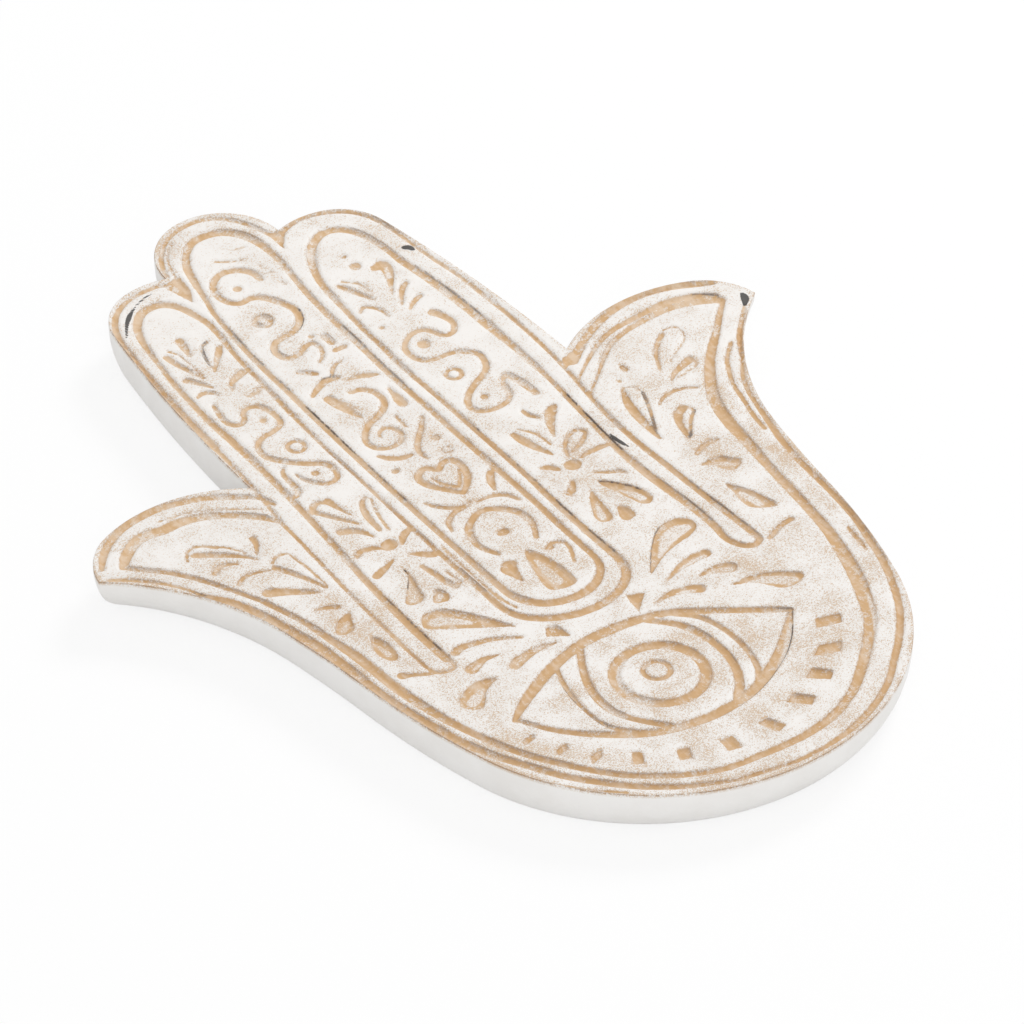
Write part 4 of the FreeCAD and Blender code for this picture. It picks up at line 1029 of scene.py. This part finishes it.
class Nodes:
    """The node tree of a material or a world."""

    def __init__(self, owner):
        owner.use_nodes = True
        self.tree = owner.node_tree

    def node(self, kind, settings, inputs):
        """A new node with its settings and its inputs."""
        node = self.tree.nodes.new(kind)
        for key, value in settings.items():
            setattr(node, key, value)
        for key, value in inputs.items():
            self.set(node.inputs[key], value)
        return node

    def set(self, socket, value):
        """Links a changing value to a socket, or sets a plain one on it."""
        if isinstance(value, Value):
            value = value.socket
        if isinstance(value, bpy.types.NodeSocket):
            self.tree.links.new(value, socket)
        elif hasattr(value, "__len__") and len(value) == 3 and socket.type == "RGBA":
            socket.default_value = (*value, 1)
        else:
            socket.default_value = value

    def seen(self):
        """1 for the rays that show the background: from the camera, and by way of metal or glass."""
        rays = self.node("ShaderNodeLightPath", {}, {}).outputs
        direct, mirrored, through = (
            Value(self, rays[name]) for name in ("Is Camera Ray", "Is Glossy Ray", "Is Transmission Ray"))
        return direct.high(mirrored).high(through)


class Paint(Nodes):
    """One material and the nodes that make it."""

    def __init__(self, name):
        self.material = bpy.data.materials.new(name)
        super().__init__(self.material)
        self.shader = self.tree.nodes["Principled BSDF"]
        self.place = self.node("ShaderNodeTexCoord", {}, {}).outputs["Object"]

    def attribute(self, name):
        return Value(self, self.node("ShaderNodeAttribute", {"attribute_name": name}, {}).outputs["Fac"])

    def noise(self, scale, detail=2.0, rough=0.5, stretch=(1, 1, 1), shift=(0, 0, 0)):
        """Noise over the piece, of so many marks to a metre, stretched or moved if asked."""
        place = self.place
        if stretch != (1, 1, 1) or shift != (0, 0, 0):
            mapping = {"Vector": place, "Scale": stretch, "Location": shift}
            place = self.node("ShaderNodeMapping", {}, mapping).outputs[0]
        inputs = {"Vector": place, "Scale": scale, "Detail": detail, "Roughness": rough}
        return Value(self, self.node("ShaderNodeTexNoise", {}, inputs).outputs["Fac"])

    def mix(self, factor, first, second):
        """The first colour where the factor is 0, and the second where it is 1."""
        node = self.node("ShaderNodeMix", {"data_type": "RGBA"}, {"Factor": factor, 6: first, 7: second})
        return node.outputs[2]

    def bump(self, height, distance, strength):
        inputs = {"Height": height, "Distance": distance, "Strength": strength}
        return self.node("ShaderNodeBump", {}, inputs).outputs[0]

    def finish(self, **sockets):
        """Sets the shader's own sockets, by their names in small letters."""
        for name, value in sockets.items():
            self.set(self.shader.inputs[name.replace("_", " ").title()], value)
        return self.material


def tint(colour, red, green, blue):
    """A colour with each of its parts multiplied."""
    return tuple(part * factor for part, factor in zip(colour, (red, green, blue)))


def whitewash(settings):
    """Whitewashed wood, rubbed back so that the bare wood shows in every cut."""
    p = Paint("whitewashed_wood")
    wood, white = tuple(settings.wood), tuple(settings.paint)
    cut, pale, dirt_and_shadow, worn, nick, face, lip = (
        p.attribute(name) for name in ("cut", "pale", "dirt_and_shadow", "worn", "nick", "face", "lip"))

    # noise from fine to coarse, and the grain that runs along the fingers
    sand = p.noise(2600, 2.0, 0.6, shift=(0.5, 0.2, 0.9))
    grit = p.noise(1500, 2.5, 0.62)
    grain = p.noise(620, 3.0, 0.6, shift=(0.3, 0.1, 0.2))
    patch = p.noise(110, 3.0, 0.55)
    cloud = p.noise(38, 2.0, 0.5, shift=(0.7, 0.2, 0.1))
    streak = p.noise(420, 3.0, 0.55, stretch=(1, 0.09, 1))

    _, along, level = (Value(p, s) for s in p.node("ShaderNodeSeparateXYZ", {}, {0: p.place}).outputs)
    fingers = along.ramp(-0.03, 0.06)
    back = level.ramp(BOX_LOW.z + 0.0004, BOX_LOW.z + 0.0001)

    # bare wood on the floor of each cut, less the paint that was left there
    ragged = cut + fingers * 0.12 + (grit - 0.5) * 0.6 + (grain - 0.5) * 0.6 + (patch - 0.5) * 0.5
    left = (grain * 0.5 + grit * 0.5 + (patch - 0.5) * 0.7 + fingers * 0.035).ramp(0.555, 0.64)
    spill = (pale + (grit - 0.5) * 1.4 + (grain - 0.5) * 1.4).ramp(0.35, -0.35)
    film = (streak * 0.6 + grain * 0.4 + fingers * 0.05).ramp(0.42, 0.66)
    bare = ragged.ramp(0.2, -0.2) * (1 - left * 0.7) * (1 - spill * 0.82) * (1 - film * 0.24)

    # fine specks of wood between the cuts, more of them on rubbed places and near edges
    limit = 0.547 - worn * 0.036 - (cloud - 0.5) * 0.08 - (patch - 0.5) * 0.22 + fingers * 0.03
    limit = limit - cut.ramp(0.9, 0.0, 0.0, 0.03) - lip.ramp(2.2, 0.2, 0.0, 0.07)
    speck = (sand * 0.65 + grit * 0.35 - limit).ramp(-0.03, 0.06) * face
    bare = bare.high(speck * 0.78).high(face * 0.07).high(back * grain.ramp(0.5, 0.7) * 0.2)

    tone = (grain - 0.5) * 0.35 + (streak - 0.5) * 0.5 + fingers * 0.17 + 0.35
    wood_colour = p.mix(tone.ramp(0.25, 0.75), tint(wood, 0.86, 0.8, 0.72), wood)
    # a thin band of painted shade just inside the edge of every cut, where its wall drops
    cut_edge_shade = abs(cut + 0.12 + (grit - 0.5) * 0.45).ramp(0.3, 0.05) * patch.ramp(0.36, 0.58)
    wood_colour = p.mix(cut_edge_shade * 0.55, wood_colour, tint(wood, 0.56, 0.45, 0.36))
    greyed = (cloud * 0.5 + patch * 0.5).ramp(0.4, 0.66) * 0.5
    colour = p.mix(bare, p.mix(greyed, white, tint(white, 0.92, 0.91, 0.895)), wood_colour)

    # painted shade on the walls that face away from the lamp, and a thin painted shadow line under their
    # tops
    normal = p.node("ShaderNodeTexCoord", {}, {}).outputs["Normal"]
    tilt = p.node("ShaderNodeVectorMath", {"operation": "DOT_PRODUCT"}, {0: normal, 1: AWAY_FROM_LAMP})
    lee = Value(p, tilt.outputs["Value"]).ramp(0.3, 0.62) * face
    painted_shade_colour = tint(wood, 0.4, 0.38, 0.42)
    painted_shade = lee * (patch * 0.5 + grain * 0.5 + worn * 0.06).ramp(0.46, 0.6)
    colour = p.mix(painted_shade * 0.16, colour, painted_shade_colour)
    flecked = (patch * 0.6 + grain * 0.4).ramp(0.42, 0.54)
    # line: the thin painted shadow line under the tops of those walls
    line = abs(cut - 0.12 + (grit - 0.5) * 0.25).ramp(0.3, 0.06) * lee * flecked
    colour = p.mix(line * 0.6, colour, painted_shade_colour)

    # the worn arris of the board, the painted shadow and dirt along some edges, and the painted shadow in
    # the nicks
    chipped = (patch * 0.6 + grain * 0.4).ramp(0.4, 0.54)
    arris = abs(lip + 0.14 + (grit - 0.5) * 0.35).ramp(0.34, 0.1) * chipped
    colour = p.mix(arris * 0.66, colour, tint(wood, 0.5, 0.41, 0.35))
    broken = (grain * 0.45 + patch * 0.55 + dirt_and_shadow * 0.16).ramp(0.5, 0.66)
    # edge: a near-black painted shadow, partly dirt, along one side of some cuts
    edge = abs(cut + 0.12 + (grit - 0.5) * 0.3).ramp(0.32, 0.08) * dirt_and_shadow.ramp(0.05, 0.8) * broken
    colour = p.mix(edge * 0.9, colour, (0.07, 0.052, 0.042))
    # near-black painted shadow in the nicks
    nick_shadow = (nick + (grit - 0.5) * 0.4).ramp(0.24, 0.02)
    colour = p.mix(nick_shadow * 0.94, colour, (0.022, 0.018, 0.016))

    rough = 0.62 + bare * 0.1 + (grit - 0.5) * 0.12
    skin = (grit - 0.5) * 0.16 + (grain - 0.5) * 0.2 - bare * 0.2 + streak * 0.05
    return p.finish(base_color=colour, roughness=rough, normal=p.bump(skin, 0.0006, 0.8))


def zinc(settings):
    """Stamped steel with a bright zinc coat: fine brushing, spangle and handling marks."""
    p = Paint("zinc_plate")
    steel = tuple(settings.steel)
    brushed = p.noise(900, 3.0, 0.6, stretch=(1, 0.06, 1))
    spangle = p.noise(160, 2.0, 0.5)
    marks = p.noise(420, 4.0, 0.7, stretch=(0.3, 1, 1)).ramp(0.62, 0.74)
    colour = p.mix((brushed * 0.6 + spangle * 0.4).ramp(0.35, 0.65), tint(steel, 0.72, 0.72, 0.72), steel)
    colour = p.mix(marks * 0.35, colour, tuple(min(1, part * 1.3) for part in steel))
    rough = 0.34 + spangle * 0.16 + marks * 0.1
    height = brushed * 0.5 + marks * 0.2
    return p.finish(base_color=colour, metallic=1.0, roughness=rough, normal=p.bump(height, 0.0001, 0.6))


def screw_steel(settings):
    """Zinc-plated screws: a faint yellow tint and worn crests."""
    p = Paint("screw_steel")
    steel = tint(settings.steel, 1.06, 1.02, 0.93)
    turned = p.noise(2200, 2.0, 0.5, stretch=(1, 1, 0.2))
    stain = p.noise(500, 3.0, 0.6)
    colour = p.mix((turned * 0.5 + stain * 0.5).ramp(0.36, 0.64), tint(steel, 0.66, 0.66, 0.66), steel)
    rough = 0.3 + stain * 0.22
    return p.finish(base_color=colour, metallic=1.0, roughness=rough, normal=p.bump(turned, 0.00006, 0.6))


def coordinates(bm):
    return np.array([v.co[:] for v in bm.verts])


def outline_tree(outline):
    """A search tree that finds the point of the outline nearest to a place."""
    tree = kdtree.KDTree(len(outline))
    for i, (x, y) in enumerate(outline):
        tree.insert((x, y, 0), i)
    tree.balance()
    return tree


def cut_grid(bm, outline, tree, width, height, cell):
    """A flat grid that ends just inside the outline."""
    across, along = int(width / cell) + 2, int(height / cell) + 2
    bmesh.ops.create_grid(bm, x_segments=across, y_segments=along, size=0.5)
    bmesh.ops.scale(bm, vec=(across * cell, along * cell, 1), verts=bm.verts)
    co = coordinates(bm)
    inside = inside_loop(co[:, 0], co[:, 1], outline[::COARSE])
    outside = [
        v for v, within in zip(bm.verts, inside)
        if not within or tree.find(v.co)[2] < cell * RIM_GAP_SHARE
    ]
    bmesh.ops.delete(bm, geom=outside, context="VERTS")
    for _ in range(TRIM_PASSES):
        thin = [f for f in bm.faces if sum(e.is_boundary for e in f.edges) > 2]
        bmesh.ops.delete(bm, geom=thin, context="FACES")
    stray = [v for v in bm.verts if not v.link_faces]
    bmesh.ops.delete(bm, geom=stray, context="VERTS")


def snap_rim(bm, tree, corners, cell):
    """Draws the grid's edge out to the outline and its corners, and eases the rows behind it."""
    rim = [v for v in bm.verts if v.is_boundary]
    for v in rim:
        v.co = tree.find(v.co)[0]
    bmesh.ops.remove_doubles(bm, verts=rim, dist=cell * MERGE_SHARE)
    rim = [v for v in bm.verts if v.is_boundary]
    for corner in corners:
        min(rim, key=lambda v: (v.co - corner).length).co = corner
    near = set()
    front = set(rim)
    for _ in range(EASED_ROWS):
        front = {e.other_vert(v) for v in front for e in v.link_edges} - set(rim) - near
        near |= front
    for _ in range(EASE_PASSES):
        bmesh.ops.smooth_vert(
            bm, verts=list(near), factor=0.5, use_axis_x=True, use_axis_y=True, use_axis_z=False)


def mark(v, layers, values):
    """Writes values into a vertex's layers."""
    for name, value in values.items():
        v[layers[name]] = value


def carve_face(bm, tree, depth_scale):
    """Sinks the carving into the face, and notes at each vertex what the paint has to know."""
    co = coordinates(bm)
    found = survey(co[:, 0], co[:, 1], depth_scale)
    for v, deep in zip(bm.verts, found.pop("deep")):
        v.co.z = -deep
    found["face"] = np.ones(len(co))
    found["lip"] = np.array([min(tree.find((v.co.x, v.co.y, 0))[2], LIP_REACH) for v in bm.verts])
    layers = {name: bm.verts.layers.float.new(name) for name in found}
    for i, v in enumerate(bm.verts):
        mark(v, layers, {name: values[i] for name, values in found.items()})
    return layers


def inward_steps(order, ahead):
    """A unit step from each vertex of a closed chain toward the middle of the board."""
    behind = order[-1:] + order[:-1]
    spin = sum(a.co.x * b.co.y - b.co.x * a.co.y for a, b in zip(order, ahead))
    steps = {}
    for v, a, b in zip(order, behind, ahead):
        along = (b.co - a.co).normalized()
        steps[v] = Vector((-along.y, along.x, 0)) * (1 if spin > 0 else -1)
    return steps


def ring_edges(bm, ring, order, ahead):
    return [bm.edges.get((ring[a], ring[b])) for a, b in zip(order, ahead)]


def next_ring(bm, ring, order, ahead):
    """One more ring of wall. A ring holds, for each vertex of the face's edge, its own vertex."""
    made = bmesh.ops.extrude_edge_only(bm, edges=ring_edges(bm, ring, order, ahead))["geom"]
    above = {v: key for key, v in ring.items()}
    below = {}
    for v in made:
        if isinstance(v, bmesh.types.BMVert):
            source = next(e.other_vert(v) for e in v.link_edges if e.other_vert(v) in above)
            below[above[source]] = v
    return below


def side_place(flat, depth, width, height, thick):
    """Where the side lies at a depth: it draws in toward the back, most of all under the thumbs."""
    down = depth / thick
    share = 1 - BACK_DRAW_SHARE * down**DRAW_POWER
    tuck = max(0, abs(flat.x) / width * 2 - THUMB_START_SHARE) ** 1.5 * down**TUCK_POWER
    lift = tuck * max(0, THUMB_TOP_SHARE * height - flat.y)
    return flat.x * share * (1 - TUCK_IN_SHARE * tuck), flat.y * share + TUCK_UP_SHARE * lift, -depth


def side_walls(bm, layers, width, height, thick):
    """Rings of wall from the edge of the face to the edge of the back; gives that last edge."""
    order = loop_of([e for e in bm.edges if e.is_boundary])
    ahead = order[1:] + order[:1]
    base = {v: v.co.copy() for v in order}
    inward = inward_steps(order, ahead)
    ring = {v: v for v in order}
    for number, (inset, drawn_depth, skin) in enumerate(SIDE_RINGS):
        depth = drawn_depth * thick / DRAWN_THICKNESS
        if number:
            ring = next_ring(bm, ring, order, ahead)
        for v in order:
            ring[v].co = side_place(base[v] + inward[v] * inset, depth, width, height, thick)
            if number:
                mark(ring[v], layers, PLAIN)
            mark(ring[v], layers, {"face": skin, "lip": -depth if number else inset})
    return ring_edges(bm, ring, order, ahead)


def hanger_seat(bm, layers, foot, thick):
    """Closes the back round the hanger's recess, the pocket behind its keyhole and its pilots."""
    known = set(bm.verts)
    low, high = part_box("keyhole_hanger")
    rise = (low.y + high.y) / 2 / MM
    floor = RECESS_DEPTH - thick
    recess = stadium_loop(bm, RECESS_WIDTH, RECESS_LENGTH, rise, -thick, RECESS_STEPS)
    fill(bm, foot + recess)
    seat = raise_loop(bm, recess, RECESS_DEPTH)
    pocket = stadium_loop(bm, POCKET_WIDTH, POCKET_LENGTH, rise, floor, POCKET_STEPS)
    lower = circle_loop(bm, PILOT_RADIUS, 0, rise - PILOT_REACH, floor, PILOT_STEPS)
    upper = circle_loop(bm, PILOT_RADIUS, 0, rise + PILOT_REACH, floor, PILOT_STEPS)
    fill(bm, seat + pocket + lower + upper)
    fill(bm, raise_loop(bm, pocket, POCKET_DEPTH))
    for pilot in (lower, upper):
        fill(bm, raise_loop(bm, pilot, PILOT_DEPTH))
    for v in bm.verts:
        if v not in known:
            mark(v, layers, {**PLAIN, "lip": -thick})
            if v.co.z > RECESS_DEPTH / 2 - thick:
                v[layers["cut"]] = -REACH


class HAMSA_OT_board(bpy.types.Operator):
    """Carve the board: face, rounded side, back and the seat of the hanger"""

    bl_idname = "hamsa.board"
    bl_label = "Carved board"

    def execute(self, context):
        s = context.scene.hamsa_board
        cell = s.cell / MM
        width, height, thick = s.width / MM, s.height / MM, s.thickness / MM
        outline, corners = outline_points(OUTLINE_STEP)
        outline *= (width / DRAWN_WIDTH, height / DRAWN_HEIGHT)
        corners = [Vector((x * width / DRAWN_WIDTH, y * height / DRAWN_HEIGHT, 0)) for x, y in corners]
        tree = outline_tree(outline)

        bm = bmesh.new()
        cut_grid(bm, outline, tree, width, height, cell)
        snap_rim(bm, tree, corners, cell)
        layers = carve_face(bm, tree, s.depth)
        foot = side_walls(bm, layers, width, height, thick)
        hanger_seat(bm, layers, foot, thick)
        bmesh.ops.triangulate(bm, faces=bm.faces, quad_method="SHORT_EDGE")
        bmesh.ops.recalc_face_normals(bm, faces=bm.faces)
        bmesh.ops.translate(bm, vec=(0, 0, thick), verts=bm.verts)
        bmesh.ops.scale(bm, vec=(MM, MM, MM), verts=bm.verts)
        bmesh.ops.translate(bm, vec=(0, 0, BOX_LOW.z), verts=bm.verts)
        for f in bm.faces:
            f.smooth = True
        piece = new_object("carved_board", bm, "board", "hand_board")
        piece.data.set_sharp_from_angle(angle=math.radians(SHARP_ANGLE))
        set_material(piece, whitewash(s))
        print("carved board triangles", len(piece.data.polygons))
        return {"FINISHED"}


class HAMSA_OT_hardware(bpy.types.Operator):
    """Finish the hanger and its screws"""

    bl_idname = "hamsa.hardware"
    bl_label = "Hanger and screws"

    def execute(self, context):
        s = context.scene.hamsa_hardware
        plate, steel = zinc(s), screw_steel(s)
        set_material(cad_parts["keyhole_hanger"], plate)
        for name in ("hanger_screw_upper", "hanger_screw_lower"):
            set_material(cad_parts[name], steel)
        return {"FINISHED"}


def lay_floor(scene):
    """A plain pale floor just below the board, which looks white to the camera."""
    bm = bmesh.new()
    bmesh.ops.create_grid(bm, x_segments=2, y_segments=2, size=FLOOR_REACH)
    bmesh.ops.translate(bm, vec=(0, 0, BOX_LOW.z - FLOOR_DROP), verts=bm.verts)
    mesh = bpy.data.meshes.new("floor")
    bm.to_mesh(mesh)
    bm.free()
    floor = bpy.data.objects.new("floor", mesh)
    scene.collection.objects.link(floor)
    p = Paint("floor_paper")
    p.finish(base_color=(0.9, 0.9, 0.9), roughness=0.9)
    glow = p.node("ShaderNodeEmission", {}, {"Color": (1, 1, 1), "Strength": 1.0})
    shaders = {0: p.seen() * 0.8, 1: p.shader.outputs[0], 2: glow.outputs[0]}
    mixed = p.node("ShaderNodeMixShader", {}, shaders)
    p.set(p.tree.nodes["Material Output"].inputs["Surface"], mixed.outputs[0])
    mesh.materials.append(p.material)


def light_sky(scene, strength):
    """Even light from all round, with a white background behind it."""
    world = bpy.data.worlds.new("studio")
    scene.world = world
    sky = Nodes(world)
    back = sky.tree.nodes["Background"]
    sky.set(back.inputs["Color"], (1, 1, 1))
    sky.set(back.inputs["Strength"], sky.seen() * (1 - strength) + strength)


def hang_lamps(scene, power):
    """Round soft lamps that face the board."""
    for name, place, share, size in LAMPS:
        light = bpy.data.lights.new(name, "AREA")
        light.shape = "DISK"
        light.size = size
        light.energy = power * share
        lamp = bpy.data.objects.new(name, light)
        lamp.location = place
        lamp.rotation_euler = (-Vector(place)).to_track_quat("-Z", "Y").to_euler()
        scene.collection.objects.link(lamp)


def place_camera(scene):
    """A long lens at the photograph's viewing angle."""
    data = bpy.data.cameras.new("camera")
    data.sensor_width = SENSOR_WIDTH
    data.lens = FOCAL_PIXELS / PHOTO_PIXELS * SENSOR_WIDTH
    data.clip_start = 0.1
    data.clip_end = 100
    camera = bpy.data.objects.new("camera", data)
    ahead = Vector(CAMERA_AHEAD).normalized()
    right = Vector(CAMERA_RIGHT).normalized()
    up = right.cross(ahead)
    turn = Matrix((right, up, -ahead)).transposed().to_4x4()
    camera.matrix_world = Matrix.Translation(CAMERA_PLACE) @ turn
    scene.collection.objects.link(camera)
    scene.camera = camera


class HAMSA_OT_stage(bpy.types.Operator):
    """Set the floor, the light and the camera"""

    bl_idname = "hamsa.stage"
    bl_label = "Stage"

    def execute(self, context):
        s = context.scene.hamsa_stage
        lay_floor(context.scene)
        light_sky(context.scene, s.sky)
        hang_lamps(context.scene, s.lamp)
        place_camera(context.scene)
        context.scene.view_settings.view_transform = "Standard"
        return {"FINISHED"}


class HAMSA_PT_panel(bpy.types.Panel):
    """Steps that make the ornament"""

    bl_idname = "HAMSA_PT_panel"
    bl_label = "Hamsa hand"
    bl_space_type = "VIEW_3D"
    bl_region_type = "UI"
    bl_category = "Hamsa"

    def draw(self, context):
        for step in OPERATORS:
            self.layout.operator(step.bl_idname)
        for group, _ in GROUPS:
            box = self.layout.box()
            settings = getattr(context.scene, group)
            for name in settings.__annotations__:
                box.prop(settings, name)


OPERATORS = (HAMSA_OT_board, HAMSA_OT_hardware, HAMSA_OT_stage)
GROUPS = (
    ("hamsa_board", BoardSettings),
    ("hamsa_hardware", HardwareSettings),
    ("hamsa_stage", StageSettings),
)


def register():
    for name, group in GROUPS:
        bpy.utils.register_class(group)
        setattr(bpy.types.Scene, name, bpy.props.PointerProperty(type=group))
    for step in OPERATORS:
        bpy.utils.register_class(step)
    bpy.utils.register_class(HAMSA_PT_panel)


def unregister():
    bpy.utils.unregister_class(HAMSA_PT_panel)
    for step in reversed(OPERATORS):
        bpy.utils.unregister_class(step)
    for name, group in reversed(GROUPS):
        delattr(bpy.types.Scene, name)
        bpy.utils.unregister_class(group)


def main():
    register()
    bpy.ops.hamsa.board()
    bpy.ops.hamsa.hardware()
    bpy.ops.hamsa.stage()


if __name__ == "__main__":
    main()
